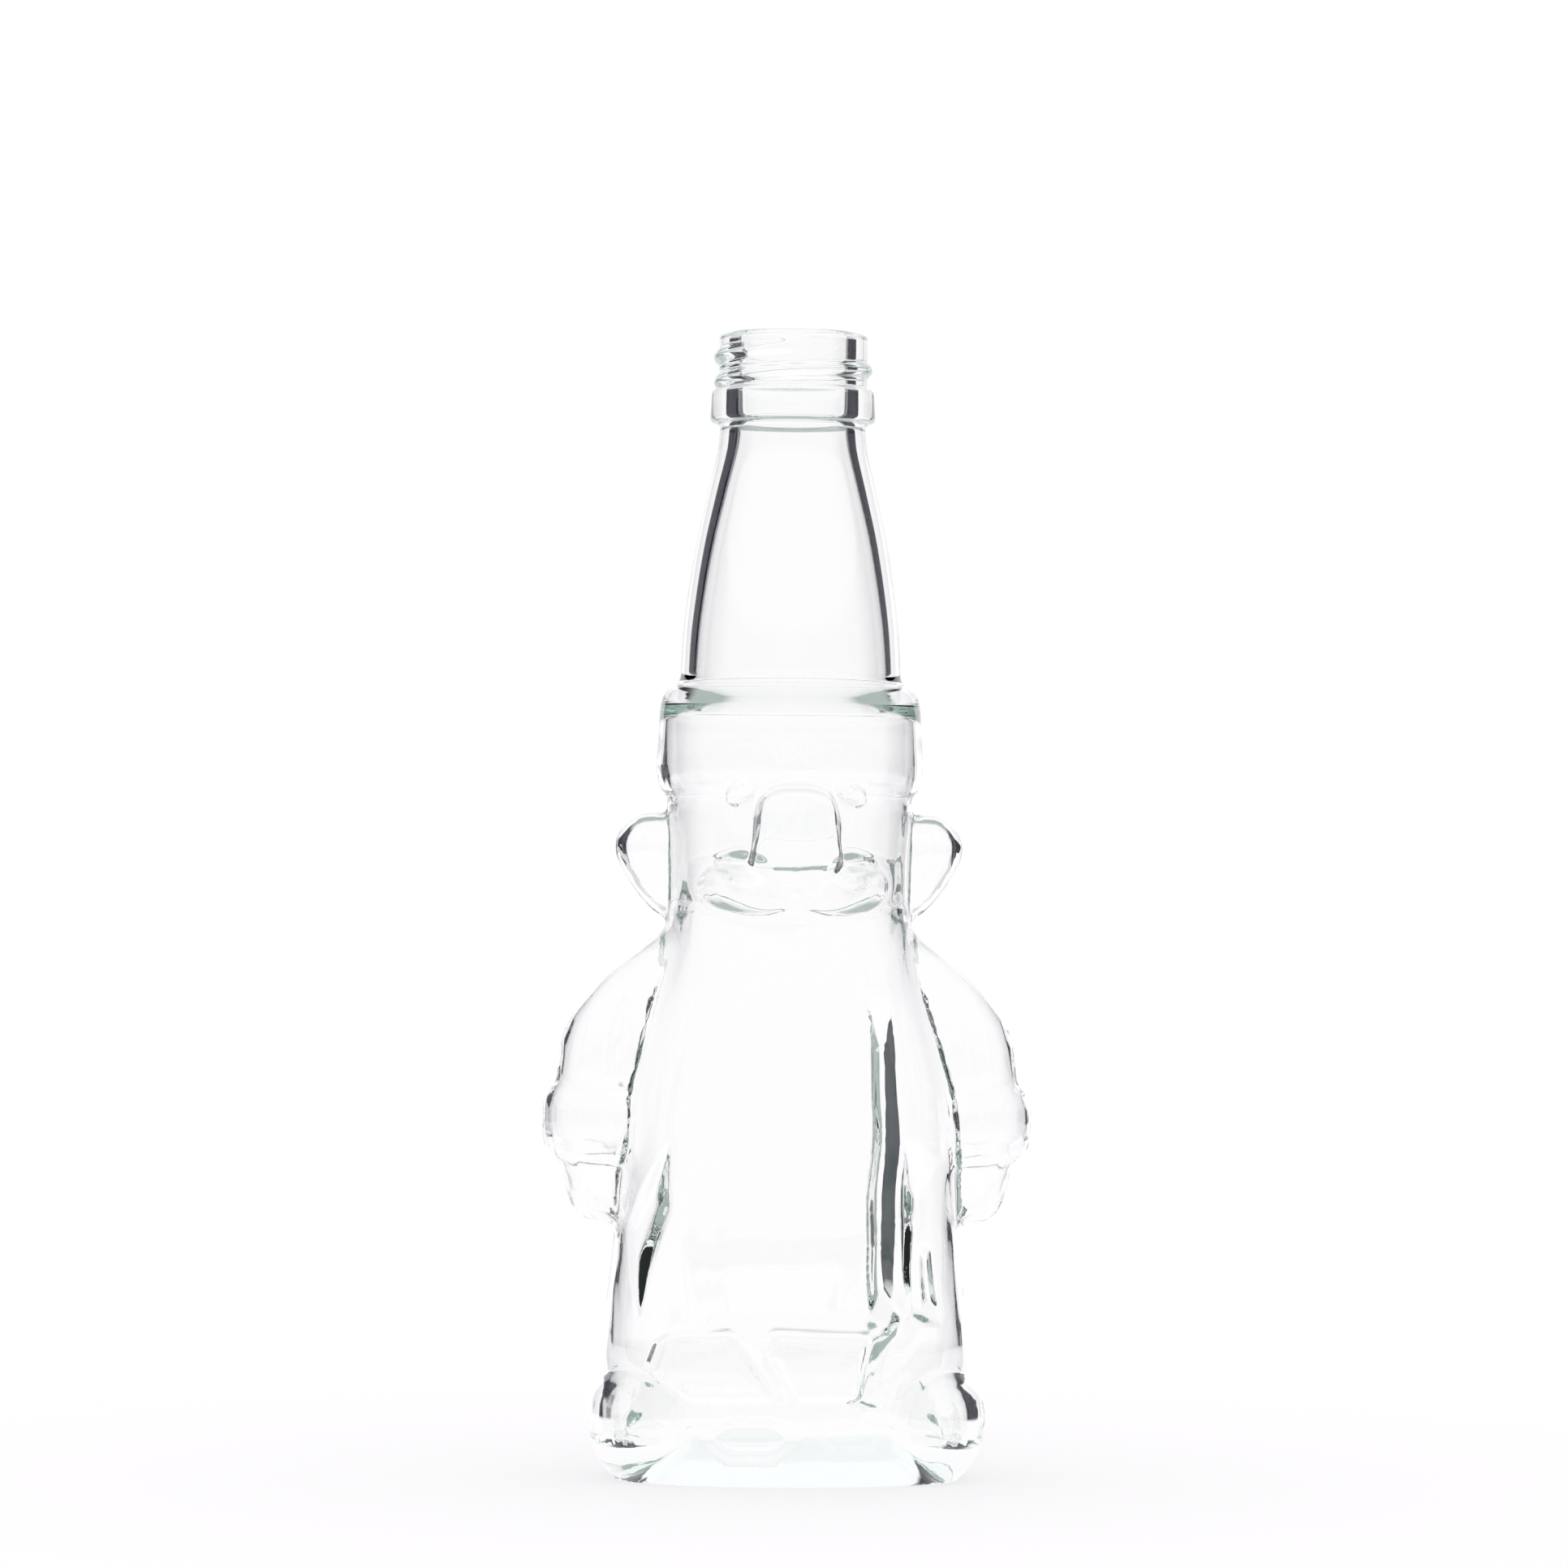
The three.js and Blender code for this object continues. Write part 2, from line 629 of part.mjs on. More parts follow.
const CLEAR_GLASS = { color: 0xeef5f1, roughness: 0.03, metalness: 0, transparent: true, opacity: 0.35 };

const zones = [
  ["boots_and_base", 0, BASE_HEIGHT],
  ["coat_and_arms", HEM_Z, BODY_HEIGHT],
  ["head", COLLAR_Z, HEAD_HEIGHT],
  ["hat_brim", BRIM_FOOT_Z, BRIM_HEIGHT],
  ["hat", HAT_FOOT_Z, HAT_HEIGHT],
  ["screw_finish", FINISH_FOOT_Z, FINISH_HEIGHT],
];

const bottle = new THREE.Group();
const wholeGlass = glass();
for (const [name, foot, height] of zones) {
  const geometry = geometryOf(zoneOf(wholeGlass, foot, height));
  const zone = new THREE.Mesh(geometry, new THREE.MeshStandardMaterial(CLEAR_GLASS));
  zone.name = name;
  bottle.add(zone);
}

export default bottle;
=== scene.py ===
"""Elf-shaped bottle of clear glass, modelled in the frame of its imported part.

The file is laid out as an add-on and run as a script. Lengths are in metres, or in millimetres where a
comment says so.
"""

import math

import bpy
from bpy.props import FloatProperty, FloatVectorProperty, IntProperty, PointerProperty
from mathutils import Matrix, Vector


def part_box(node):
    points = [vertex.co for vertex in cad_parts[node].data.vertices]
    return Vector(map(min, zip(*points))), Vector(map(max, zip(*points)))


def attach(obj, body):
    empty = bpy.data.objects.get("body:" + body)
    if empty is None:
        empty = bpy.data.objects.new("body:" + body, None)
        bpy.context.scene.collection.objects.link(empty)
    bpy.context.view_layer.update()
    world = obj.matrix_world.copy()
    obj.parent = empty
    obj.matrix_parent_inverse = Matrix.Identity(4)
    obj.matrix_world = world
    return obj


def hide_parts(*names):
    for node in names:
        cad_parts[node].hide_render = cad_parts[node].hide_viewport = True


bl_info = {
    "name": "Elf Bottle",
    "version": (1, 0, 0),
    "blender": (4, 5, 0),
    "location": "3D View > Sidebar > Elf Bottle",
    "description": "Models an elf-shaped bottle of clear glass and the light tent that it stands in",
    "category": "Add Mesh",
}

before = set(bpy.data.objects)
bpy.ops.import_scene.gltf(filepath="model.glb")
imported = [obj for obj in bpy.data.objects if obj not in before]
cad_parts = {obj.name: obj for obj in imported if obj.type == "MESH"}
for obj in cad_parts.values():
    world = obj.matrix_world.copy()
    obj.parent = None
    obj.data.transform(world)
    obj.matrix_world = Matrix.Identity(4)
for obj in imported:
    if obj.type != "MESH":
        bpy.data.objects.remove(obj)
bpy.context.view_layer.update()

MM = 0.001
SIDES = (-1, 1)

# Levels of the figure, from the frame.
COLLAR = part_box("head")[0].z
BRIM_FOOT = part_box("hat_brim")[0].z
HAT_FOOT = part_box("hat")[0].z
FINISH_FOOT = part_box("screw_finish")[0].z
# The glass ends this far below the top of the solids.
LAND_MARGIN = 0.02 * MM
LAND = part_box("screw_finish")[1].z - LAND_MARGIN


def length(name, description, millimetres):
    """A length that a user can change, given in millimetres."""
    return FloatProperty(
        name=name,
        description=description,
        default=millimetres * MM,
        min=0.0,
        precision=5,
        subtype="DISTANCE",
        unit="LENGTH",
    )


class FinishSizes(bpy.types.PropertyGroup):
    """The screw finish on top of the hat."""

    bore_radius: length("Bore Radius", "Inside radius of the mouth", 9.4)
    lip_radius: length("Lip Radius", "Outside radius of the lip, under the thread", 12.7)
    lip_rounding: length("Lip Rounding", "Rounding of the lip's edges", 1.3)
    bead_radius: length("Bead Radius", "Outside radius of the bead at its foot", 14.15)
    bead_top_radius: length("Bead Top Radius", "Outside radius of the bead at its top", 13.95)
    bead_height: length("Bead Height", "Height of the bead", 5.8)
    bead_lift: length("Bead Lift", "Height of the bead above the finish's foot", 1.1)
    bead_rounding: length("Bead Rounding", "Rounding of the bead's edges", 0.9)
    thread_height: length("Thread Height", "How far the thread stands out of the lip", 0.9)
    thread_width: length("Thread Width", "Width of the thread at its foot", 2.9)
    thread_pitch: length("Thread Pitch", "Rise of the thread in one turn", 4.23)
    thread_top_drop: length("Thread Top Drop", "Depth of the thread's upper end below the lip", 2.9)
    thread_turns: FloatProperty(name="Thread Turns", description="Turns of the thread", default=1.55)
    thread_top_angle: FloatProperty(
        name="Thread Top Angle",
        description="Where the thread's upper end lies round the axis",
        default=math.radians(-80),
        subtype="ANGLE",
    )


class HatSizes(bpy.types.PropertyGroup):
    """The bell of the hat and its rolled brim."""

    neck_radius: length("Neck Radius", "Outside radius under the bead", 12.5)
    foot_radius: length("Foot Radius", "Outside radius of the hat above the brim", 18.9)
    brim_radius: length("Brim Radius", "Largest radius of the brim", 22.85)
    brim_shoulder_radius: length("Brim Shoulder Radius", "Radius where the brim begins to round in", 22.45)
    brim_shoulder_drop: length("Brim Shoulder Drop", "Depth of that level below the hat's foot", 7.5)
    brim_fillet: length("Brim Fillet", "Fillet between the brim and the bell of the hat", 1.6)
    lining: length("Lining", "Thickness of the glass at the foot of the hat's bell", 2.4)
    lining_drop: length("Lining Drop", "Depth below the bell where its inside widens into the brim", 6.6)
    head_radius: length("Head Radius", "Radius of the head under the brim", 20.95)
    collar_radius: length("Collar Radius", "Radius of the neck between head and coat", 20.2)


class GlassLook(bpy.types.PropertyGroup):
    """Thickness and finish of the glass."""

    wall: length("Wall", "Thickness of the glass in the walls", 1.6)
    floor: length("Floor", "Thickness of the glass under the hollow", 7.0)
    tint: FloatVectorProperty(
        name="Tint",
        description="Colour of the glass where it is thick",
        default=(0.40, 0.70, 0.58),
        min=0.0,
        max=1.0,
        subtype="COLOR",
    )
    tint_density: FloatProperty(
        name="Tint Density", description="How soon thick glass takes on its tint", default=3.5, min=0.0
    )
    skin_voxel: length("Skin Voxel", "Fineness of the coat's outer skin", 1.0)
    face_voxel: length("Face Voxel", "Fineness of the head's outer skin", 0.58)
    hollow_voxel: length("Hollow Voxel", "Fineness of the hollow's skin", 1.5)
    skin_passes: IntProperty(name="Skin Passes", description="Fire polish of the coat", default=7)
    face_passes: IntProperty(name="Face Passes", description="Fire polish of the head", default=4)
    hollow_passes: IntProperty(name="Hollow Passes", description="Evening out of the hollow", default=6)
    relief_passes: IntProperty(name="Relief Passes", description="Fire polish of the reliefs", default=6)


class StageLook(bpy.types.PropertyGroup):
    """The light tent and the camera."""

    camera_distance: length("Camera Distance", "Distance of the camera from the bottle's axis", 1000.0)
    camera_height: length("Camera Height", "Height of the lens above the table", 97.0)
    aim_height: length("Aim Height", "Height on the axis at the picture's middle", 117.9)
    picture_width: length("Picture Width", "Width that the picture covers at the bottle's axis", 268.3)
    camera_azimuth: FloatProperty(
        name="Camera Azimuth",
        description="How far the camera stands to the left of the figure's front",
        default=math.radians(-3.3),
        subtype="ANGLE",
    )
    camera_roll: FloatProperty(
        name="Camera Roll", description="Lean of the camera", default=math.radians(0.5), subtype="ANGLE"
    )
    camera_shift: FloatProperty(
        name="Camera Shift",
        description="Sideways shift of the lens, in picture widths",
        default=-0.0036,
        precision=4,
    )
    table_colour: FloatVectorProperty(
        name="Table Colour",
        description="Colour of the table and the tent",
        default=(0.95, 0.95, 0.95),
        min=0.0,
        max=1.0,
        subtype="COLOR",
    )


class ElfBottleSettings(bpy.types.PropertyGroup):
    """All sizes and colours of the bottle and its stage."""

    finish: PointerProperty(type=FinishSizes)
    hat: PointerProperty(type=HatSizes)
    glass: PointerProperty(type=GlassLook)
    stage: PointerProperty(type=StageLook)


# Modelling helpers.


# Points closer than this are one point.
MERGE_DISTANCE = 0.005 * MM
# The squareness of a round form, the sides of its rings, and the rings between two stations.
ROUND = 2.0
LIMB_SIDES = 48
BODY_SIDES = 72
STATION_STEPS = 4
# Steps of a turned form round the axis.
HEAD_STEPS = 96
SHELL_STEPS = 128


def active_piece(name):
    """The object that an operator has just added, under its own name."""
    piece = bpy.context.object
    piece.name = name
    piece.data.name = name
    return piece


def leave_edit_mode():
    """Back to object mode, with the place of the piece in its mesh."""
    bpy.ops.object.mode_set(mode="OBJECT")
    bpy.ops.object.transform_apply(location=True, rotation=True, scale=True)


def only_select(*pieces):
    """Selects these pieces and nothing else; the first is the active one."""
    bpy.ops.object.select_all(action="DESELECT")
    for piece in pieces:
        piece.select_set(True)
    bpy.context.view_layer.objects.active = pieces[0]


def curve_point(start, bend, end, share):
    """A point of the curve that leaves start towards bend and arrives at end from it."""
    rest = 1 - share
    weights = (rest * rest, 2 * rest * share, share * share)
    return tuple(
        sum(weight * value for weight, value in zip(weights, values)) for values in zip(start, bend, end)
    )


def curved(start, bend, end, steps):
    """Points along such a curve, its start left out."""
    return [curve_point(start, bend, end, step / steps) for step in range(1, steps + 1)]


def straight(start, end, steps):
    """Points along a straight line, its start left out."""
    return [
        tuple(a + (b - a) * step / steps for a, b in zip(start, end)) for step in range(1, steps + 1)
    ]


def add_turned(name, profile, steps):
    """A form turned on the axis: its profile of (radius, height) is drawn point by point and spun round."""
    bpy.ops.object.select_all(action="DESELECT")
    (radius, height), *rest = profile
    bpy.ops.mesh.primitive_plane_add(size=MM, location=(0, 0, 0), enter_editmode=True)
    bpy.ops.mesh.merge(type="CENTER")
    bpy.ops.transform.translate(value=(radius, 0, height))
    for next_radius, next_height in rest:
        step = (next_radius - radius, 0, next_height - height)
        bpy.ops.mesh.extrude_region_move(TRANSFORM_OT_translate={"value": step})
        radius, height = next_radius, next_height
    bpy.ops.mesh.select_all(action="SELECT")
    bpy.ops.mesh.spin(steps=steps, angle=2 * math.pi, center=(0, 0, 0), axis=(0, 0, 1))
    bpy.ops.mesh.select_all(action="SELECT")
    bpy.ops.mesh.remove_doubles(threshold=MERGE_DISTANCE)
    bpy.ops.mesh.normals_make_consistent(inside=False)
    leave_edit_mode()
    return active_piece(name)


def squared(angle, squareness):
    """A point of the unit circle, pushed out towards the corners of its square."""
    def pushed(value):
        return math.copysign(abs(value) ** (2 / squareness), value)

    return pushed(math.cos(angle)), pushed(math.sin(angle))


def smooth_stations(stations, steps=STATION_STEPS):
    """Stations made finer by a smooth curve through each of their values."""
    def between(before, low, high, after, share):
        rise_low, rise_high = (high - before) / 2, (after - low) / 2
        return (
            low * (2 * share**3 - 3 * share**2 + 1)
            + rise_low * (share**3 - 2 * share**2 + share)
            + high * (3 * share**2 - 2 * share**3)
            + rise_high * (share**3 - share**2)
        )

    finer = []
    for index in range(len(stations) - 1):
        before = stations[max(index - 1, 0)]
        low, high = stations[index], stations[index + 1]
        after = stations[min(index + 2, len(stations) - 1)]
        for step in range(steps):
            share = step / steps
            finer.append(tuple(between(*values, share) for values in zip(before, low, high, after)))
    return [*finer, stations[-1]]


def add_stacked(name, stations, squareness=ROUND, sides=LIMB_SIDES, spread=0.0):
    """A closed form of level rings: the first is drawn, the others are extruded from it and resized.

    A station is (x, y, z, half width, half depth), in millimetres. The spread widens the front half of
    the rings by this share.
    """
    bpy.ops.object.select_all(action="DESELECT")
    stations = [tuple(value * MM for value in station) for station in stations]
    x, y, z, half_x, half_y = stations[0]
    bpy.ops.mesh.primitive_circle_add(vertices=sides, radius=1, fill_type="NGON", location=(0, 0, 0))
    piece = active_piece(name)
    for index, vertex in enumerate(piece.data.vertices):
        across, deep = squared(2 * math.pi * index / sides, squareness)
        across *= 1 + spread * max(-deep, 0)
        vertex.co = (x + half_x * across, y + half_y * deep, z)
    bpy.ops.object.mode_set(mode="EDIT")
    bpy.ops.mesh.select_all(action="SELECT")
    for next_x, next_y, next_z, next_half_x, next_half_y in stations[1:]:
        step = (next_x - x, next_y - y, next_z - z)
        bpy.ops.mesh.extrude_region_move(TRANSFORM_OT_translate={"value": step})
        growth = (next_half_x / half_x, next_half_y / half_y, 1)
        bpy.ops.transform.resize(value=growth, center_override=(next_x, next_y, next_z))
        x, y, z, half_x, half_y = next_x, next_y, next_z, next_half_x, next_half_y
    bpy.ops.mesh.select_all(action="SELECT")
    bpy.ops.mesh.normals_make_consistent(inside=False)
    leave_edit_mode()
    return piece


def add_drop(name, place, half_sizes, point=0.0, turn=(0.0, 0.0, 0.0), squareness=ROUND):
    """A lump of glass, or with a point a drop whose lower half draws out downwards to that length.

    The place, half sizes and point are in millimetres and the turn is in degrees. A squareness over 2
    flattens the lump's faces and steepens its sides.
    """
    bpy.ops.object.select_all(action="DESELECT")
    bpy.ops.mesh.primitive_uv_sphere_add(segments=48, ring_count=32, radius=1, location=(0, 0, 0))
    piece = active_piece(name)
    for vertex in piece.data.vertices:
        vertex.co /= sum(abs(value) ** squareness for value in vertex.co) ** (1 / squareness)
    bpy.ops.object.mode_set(mode="EDIT")
    bpy.ops.mesh.select_all(action="SELECT")
    bpy.ops.transform.resize(value=tuple(half * MM for half in half_sizes), center_override=(0, 0, 0))
    bpy.ops.object.mode_set(mode="OBJECT")
    low = half_sizes[2] * MM
    for vertex in piece.data.vertices:
        if point and vertex.co.z < 0:
            depth = -vertex.co.z / low
            vertex.co.z *= 1 + (point * MM / low - 1) * depth
    piece.rotation_euler = tuple(math.radians(angle) for angle in turn)
    piece.location = tuple(value * MM for value in place)
    bpy.ops.object.transform_apply(location=True, rotation=True, scale=True)
    return piece


def add_bulge(name, stations, squareness=ROUND, turn=0.0, spread=0.0):
    """A form stacked towards the front: a station is (x, z, distance to the front, half width, half height).

    The turn is in degrees, about the middle of the foremost station. The spread widens the lower half.
    """
    piece = add_stacked(name, stations, squareness, spread=spread)
    piece.rotation_euler = (math.pi / 2, 0, 0)
    bpy.ops.object.transform_apply(location=True, rotation=True, scale=True)
    if turn:
        x, z, *_ = stations[-1]
        bpy.ops.transform.rotate(
            value=math.radians(turn),
            orient_axis="Y",
            orient_type="GLOBAL",
            center_override=(x * MM, 0, z * MM),
        )
        bpy.ops.object.transform_apply(location=True, rotation=True, scale=True)
    return piece


def join_pieces(name, pieces):
    """Several forms as one piece."""
    only_select(*pieces)
    bpy.ops.object.join()
    return active_piece(name)


def copy_piece(name, piece):
    """A copy of a piece with its own mesh."""
    only_select(piece)
    bpy.ops.object.duplicate()
    return active_piece(name)


def apply_modifier(piece, kind, **settings):
    """Adds a modifier to a piece and applies it."""
    only_select(piece)
    modifier = piece.modifiers.new(kind.title(), kind)
    for key, value in settings.items():
        setattr(modifier, key, value)
    bpy.ops.object.modifier_apply(modifier=modifier.name)


def melt(piece, voxel, passes):
    """Melts the overlapping forms of a piece into one skin and fire-polishes it."""
    apply_modifier(piece, "REMESH", mode="VOXEL", voxel_size=voxel)
    apply_modifier(piece, "SMOOTH", factor=0.5, iterations=passes)


def cut_level(piece, level, keep_below, fill):
    """Cuts a piece at a level and keeps one side of it."""
    only_select(piece)
    bpy.ops.object.mode_set(mode="EDIT")
    bpy.ops.mesh.select_all(action="SELECT")
    bpy.ops.mesh.bisect(
        plane_co=(0, 0, level),
        plane_no=(0, 0, 1),
        threshold=1e-6,
        use_fill=fill,
        clear_outer=keep_below,
        clear_inner=not keep_below,
    )
    bpy.ops.object.mode_set(mode="OBJECT")


# The forms of the figure.


# Outside of the hat, from its foot to the neck: share of the height, share of the flare.
HAT_OUTLINE = [
    (0.0, 1.0),
    (0.20, 0.93),
    (0.38, 0.79),
    (0.56, 0.595),
    (0.735, 0.34),
    (0.91, 0.07),
    (1.0, 0.0),
]


def hat_outline(hat):
    """Points of the hat's outside, as (radius, height), from its foot up to the neck."""
    flare = hat.foot_radius - hat.neck_radius
    return [
        (hat.neck_radius + flare * out, HAT_FOOT + (FINISH_FOOT - HAT_FOOT) * up)
        for up, out in smooth_stations(HAT_OUTLINE)
    ]


# The brim is widest at this level, and hat and figure are joined just under it.
BRIM_FULL = BRIM_FOOT + 5 * MM
SEAM_GAP = 0.5 * MM
SEAM = BRIM_FULL - SEAM_GAP
COLLAR_SEAM = COLLAR + 1.5 * MM
# The brim's roll: how far it ends under the hat's foot, and how far it tucks in above its own foot.
ROLL_TOP = 1.5 * MM
ROLL_TUCK = 0.5 * MM
# Where the fillet at the hat's foot begins, in fillets below it.
FILLET_DROP = 0.4
# The head reaches this far down into the coat, and has its full radius this far below the brim.
HEAD_ROOT = 4 * MM
HEAD_FULL = 6 * MM


def brim_and_hat(hat):
    """Outside of the hat, from the widest level of the brim up to the neck, as (radius, height)."""
    brim_full = (hat.brim_radius, BRIM_FULL)
    shoulder = (hat.brim_shoulder_radius, HAT_FOOT - hat.brim_shoulder_drop)
    hat_foot = (hat.foot_radius, HAT_FOOT)
    brim_in = (hat.foot_radius + hat.brim_fillet, HAT_FOOT - FILLET_DROP * hat.brim_fillet)
    bell = hat_outline(hat)
    return [
        brim_full,
        *straight(brim_full, shoulder, 3),
        *curved(shoulder, (hat.brim_shoulder_radius, HAT_FOOT - ROLL_TOP), brim_in, 8),
        *curved(brim_in, hat_foot, bell[1], 6),
        *bell[2:],
    ]


def add_head(hat, inset):
    """Head and brim, turned."""
    brim_foot = (hat.head_radius, BRIM_FOOT)
    outside = [
        (hat.collar_radius, COLLAR - HEAD_ROOT),
        (hat.collar_radius, COLLAR),
        (hat.head_radius, BRIM_FOOT - HEAD_FULL),
        brim_foot,
        *curved(brim_foot, (hat.brim_radius, BRIM_FOOT + ROLL_TUCK), (hat.brim_radius, BRIM_FULL), 8),
        *brim_and_hat(hat)[1:3],
    ]
    profile = [(radius - inset, height) for radius, height in outside]
    return add_turned("head", [(0, profile[0][1]), *profile, (0, profile[-1][1])], HEAD_STEPS)


# Coat without arms: (x, y, z, half width, half depth), in millimetres above the table.
COAT_SQUARENESS = 2.5
COAT_STATIONS = [
    (0, 0, 15.0, 30.6, 24.6),
    (0, 0, 21.0, 31.4, 25.1),
    (0, 0, 42.0, 29.3, 23.9),
    (0, 0, 56.0, 29.4, 22.8),
    (0, 0, 66.0, 28.6, 22.0),
    (0, 0, 77.0, 25.8, 21.2),
    (0, 0, 88.0, 21.8, 20.2),
    (0, 0, 97.0, 20.2, 19.6),
]

PLINTH_SQUARENESS = 2.4
PLINTH_STATIONS = [
    (0, 0, -3.0, 28.8, 23.2),
    (0, 0, 2.0, 29.8, 24.2),
    (0, 0, 19.0, 30.4, 24.7),
]

# The hollow above the floor of the bottle.
WELL_STATIONS = [
    (0, 0, 8.0, 22.0, 17.0),
    (0, 0, 9.6, 25.4, 20.0),
    (0, 0, 13.0, 27.0, 21.4),
    (0, 0, 21.0, 28.6, 22.6),
]

# Nose and moustache: (x, z, distance to the front, half width, half height), in millimetres.
NOSE_SQUARENESS = 3.0
NOSE_SPREAD = 0.22
NOSE_STATIONS = [
    (0, 105.5, 15.0, 8.0, 12.4),
    (0, 107.0, 19.0, 7.5, 10.8),
    (0, 109.0, 23.0, 6.9, 8.4),
    (0, 110.9, 26.0, 6.3, 5.6),
    (0, 111.4, 27.4, 5.4, 4.5),
    (0, 111.6, 28.1, 4.2, 3.4),
]
MOUSTACHE_LEAN = 15
MOUSTACHE_STATIONS = [
    (7.2, 98.8, 12.0, 9.4, 6.6),
    (7.1, 99.2, 18.0, 8.2, 4.8),
    (7.0, 99.3, 20.8, 7.0, 3.6),
    (6.9, 99.4, 22.4, 5.8, 2.6),
    (6.8, 99.4, 23.0, 4.6, 1.7),
]

# Outlines of the arms: (z, outermost x, half depth), in millimetres.
SLEEVE_ROOT = 14.0
SLEEVE_OUTLINE = [
    (60.0, 39.4, 11.0),
    (68.0, 39.4, 11.0),
    (76.0, 38.0, 10.8),
    (83.3, 33.0, 9.6),
    (88.5, 27.2, 7.6),
    (93.5, 20.4, 5.0),
]
CUFF_HALF_WIDTH = 10.6
CUFF_OUTLINE = [
    (53.6, 38.9, 10.4),
    (55.2, 41.2, 12.2),
    (58.5, 41.8, 12.8),
    (63.0, 41.8, 12.8),
    (65.2, 41.0, 12.2),
    (66.8, 39.2, 10.8),
]
MITTEN_HALF_WIDTH = 7.6
MITTEN_SQUARENESS = 2.4
MITTEN_OUTLINE = [
    (43.2, 34.0, 4.6),
    (44.4, 35.8, 6.0),
    (47.0, 37.2, 7.2),
    (52.0, 38.4, 8.0),
    (57.0, 38.6, 8.4),
]

# Drops and lumps: place, half sizes and length of the drawn-out end in millimetres, lean in degrees.
EAR_PLACE = (23.6, 0.0, COLLAR / MM + 13.0)
EAR_HALF_SIZES = (6.2, 5.6, 6.0)
EAR_LENGTH = 13.4
EAR_LEAN = 19.5
BOOT_PLACE = (23.8, -6.0, 11.4)
BOOT_HALF_SIZES = (10.2, 17.6, 8.8)
BOOT_LENGTH = 13.0
BOOT_SQUARENESS = 2.3
LIP_PLACE = (0.0, -17.6, 101.2)
LIP_HALF_SIZES = (6.2, 5.6, 6.6)
BROW_PLACE = (8.3, -19.2, BRIM_FOOT / MM + 0.6)
BROW_HALF_SIZES = (4.2, 2.0, 2.0)
BROW_LEAN = 34


def on_side(side, place):
    """A place on the left, -1, or on the right, 1, of the figure."""
    x, *rest = place
    return (side * x, *rest)


def sleeve_stations(side):
    """Sleeve: full at the elbow, running up into the neck."""
    return [
        (side * (outer + SLEEVE_ROOT) / 2, 0, z, (outer - SLEEVE_ROOT) / 2, deep)
        for z, outer, deep in SLEEVE_OUTLINE
    ]


def level_stations(side, outline, half_width):
    """A form of one width whose outermost line is given."""
    return [(side * (outer - half_width), 0, z, half_width, deep) for z, outer, deep in outline]


def mirrored(outline):
    """A relief's outline on the other side of the figure."""
    slopes = [slope for *_, slope in outline]
    corners = [(-x, z) for x, z, _ in outline]
    return [(*corners[-index], slopes[-index - 1]) for index in range(len(outline))]


def inset_stack(stations, inset):
    """Stations of a stacked form drawn in on all sides but its top."""
    low, high = stations[0][2], stations[-1][2]
    return [
        (x, y, z + inset * (high - z) / (high - low), max(half_x - inset, 1.0), max(half_y - inset, 1.0))
        for x, y, z, half_x, half_y in stations
    ]


# Arms and ears are blown thinner than the body, and boots thicker, by these shares of its wall.
ARM_SHARE = 0.65
BOOT_SHARE = 1.6


def add_inset(name, stations, squareness, inset, sides=LIMB_SIDES):
    """A stacked form drawn in by so many millimetres."""
    return add_stacked(name, inset_stack(smooth_stations(stations), inset), squareness, sides)


def add_blown(inset=0.0):
    """The forms that the hollow follows, drawn in by so many millimetres."""
    forms = [
        add_head(bpy.context.scene.elf_bottle.hat, inset * MM),
        add_inset("coat", COAT_STATIONS, COAT_SQUARENESS, inset, BODY_SIDES),
    ]
    thin = inset * ARM_SHARE
    ear = tuple(half - thin for half in EAR_HALF_SIZES)
    for side in SIDES:
        cuff = level_stations(side, CUFF_OUTLINE, CUFF_HALF_WIDTH)
        mitten = level_stations(side, MITTEN_OUTLINE, MITTEN_HALF_WIDTH)
        forms += [
            add_inset("sleeve", sleeve_stations(side), ROUND, thin),
            add_inset("cuff", cuff, ROUND, thin),
            add_inset("mitten", mitten, MITTEN_SQUARENESS, thin),
            add_drop("ear", on_side(side, EAR_PLACE), ear, EAR_LENGTH - thin, (0, side * EAR_LEAN, 0)),
        ]
    return forms


def add_boots(inset=0.0):
    """The two boots, drawn in by so many millimetres."""
    boot = tuple(half - inset for half in BOOT_HALF_SIZES)
    point = BOOT_LENGTH - inset
    return [
        add_drop("boot", on_side(side, BOOT_PLACE), boot, point, squareness=BOOT_SQUARENESS)
        for side in SIDES
    ]


def add_solid():
    """What stands on the blown forms in solid glass: plinth, nose, lip, brows and moustache."""
    forms = [
        add_stacked("plinth", PLINTH_STATIONS, PLINTH_SQUARENESS, BODY_SIDES),
        add_bulge("nose", NOSE_STATIONS, NOSE_SQUARENESS, spread=NOSE_SPREAD),
        add_drop("lip", LIP_PLACE, LIP_HALF_SIZES),
    ]
    for side in SIDES:
        moustache = [on_side(side, station) for station in MOUSTACHE_STATIONS]
        brow_turn = (0, side * BROW_LEAN, 0)
        forms += [
            add_drop("brow", on_side(side, BROW_PLACE), BROW_HALF_SIZES, turn=brow_turn),
            add_bulge("moustache", moustache, turn=side * MOUSTACHE_LEAN),
        ]
    return forms


def even_slope(corners, slope):
    """A relief's outline whose slope is as wide all round."""
    return [(x, z, slope) for x, z in corners]


def oval(x, z, half_width, half_height, slope, sides=16):
    """A relief's outline in the form of an oval."""
    turns = [2 * math.pi * step / sides for step in range(sides)]
    corners = [(x + half_width * math.cos(turn), z + half_height * math.sin(turn)) for turn in turns]
    return even_slope(corners, slope)


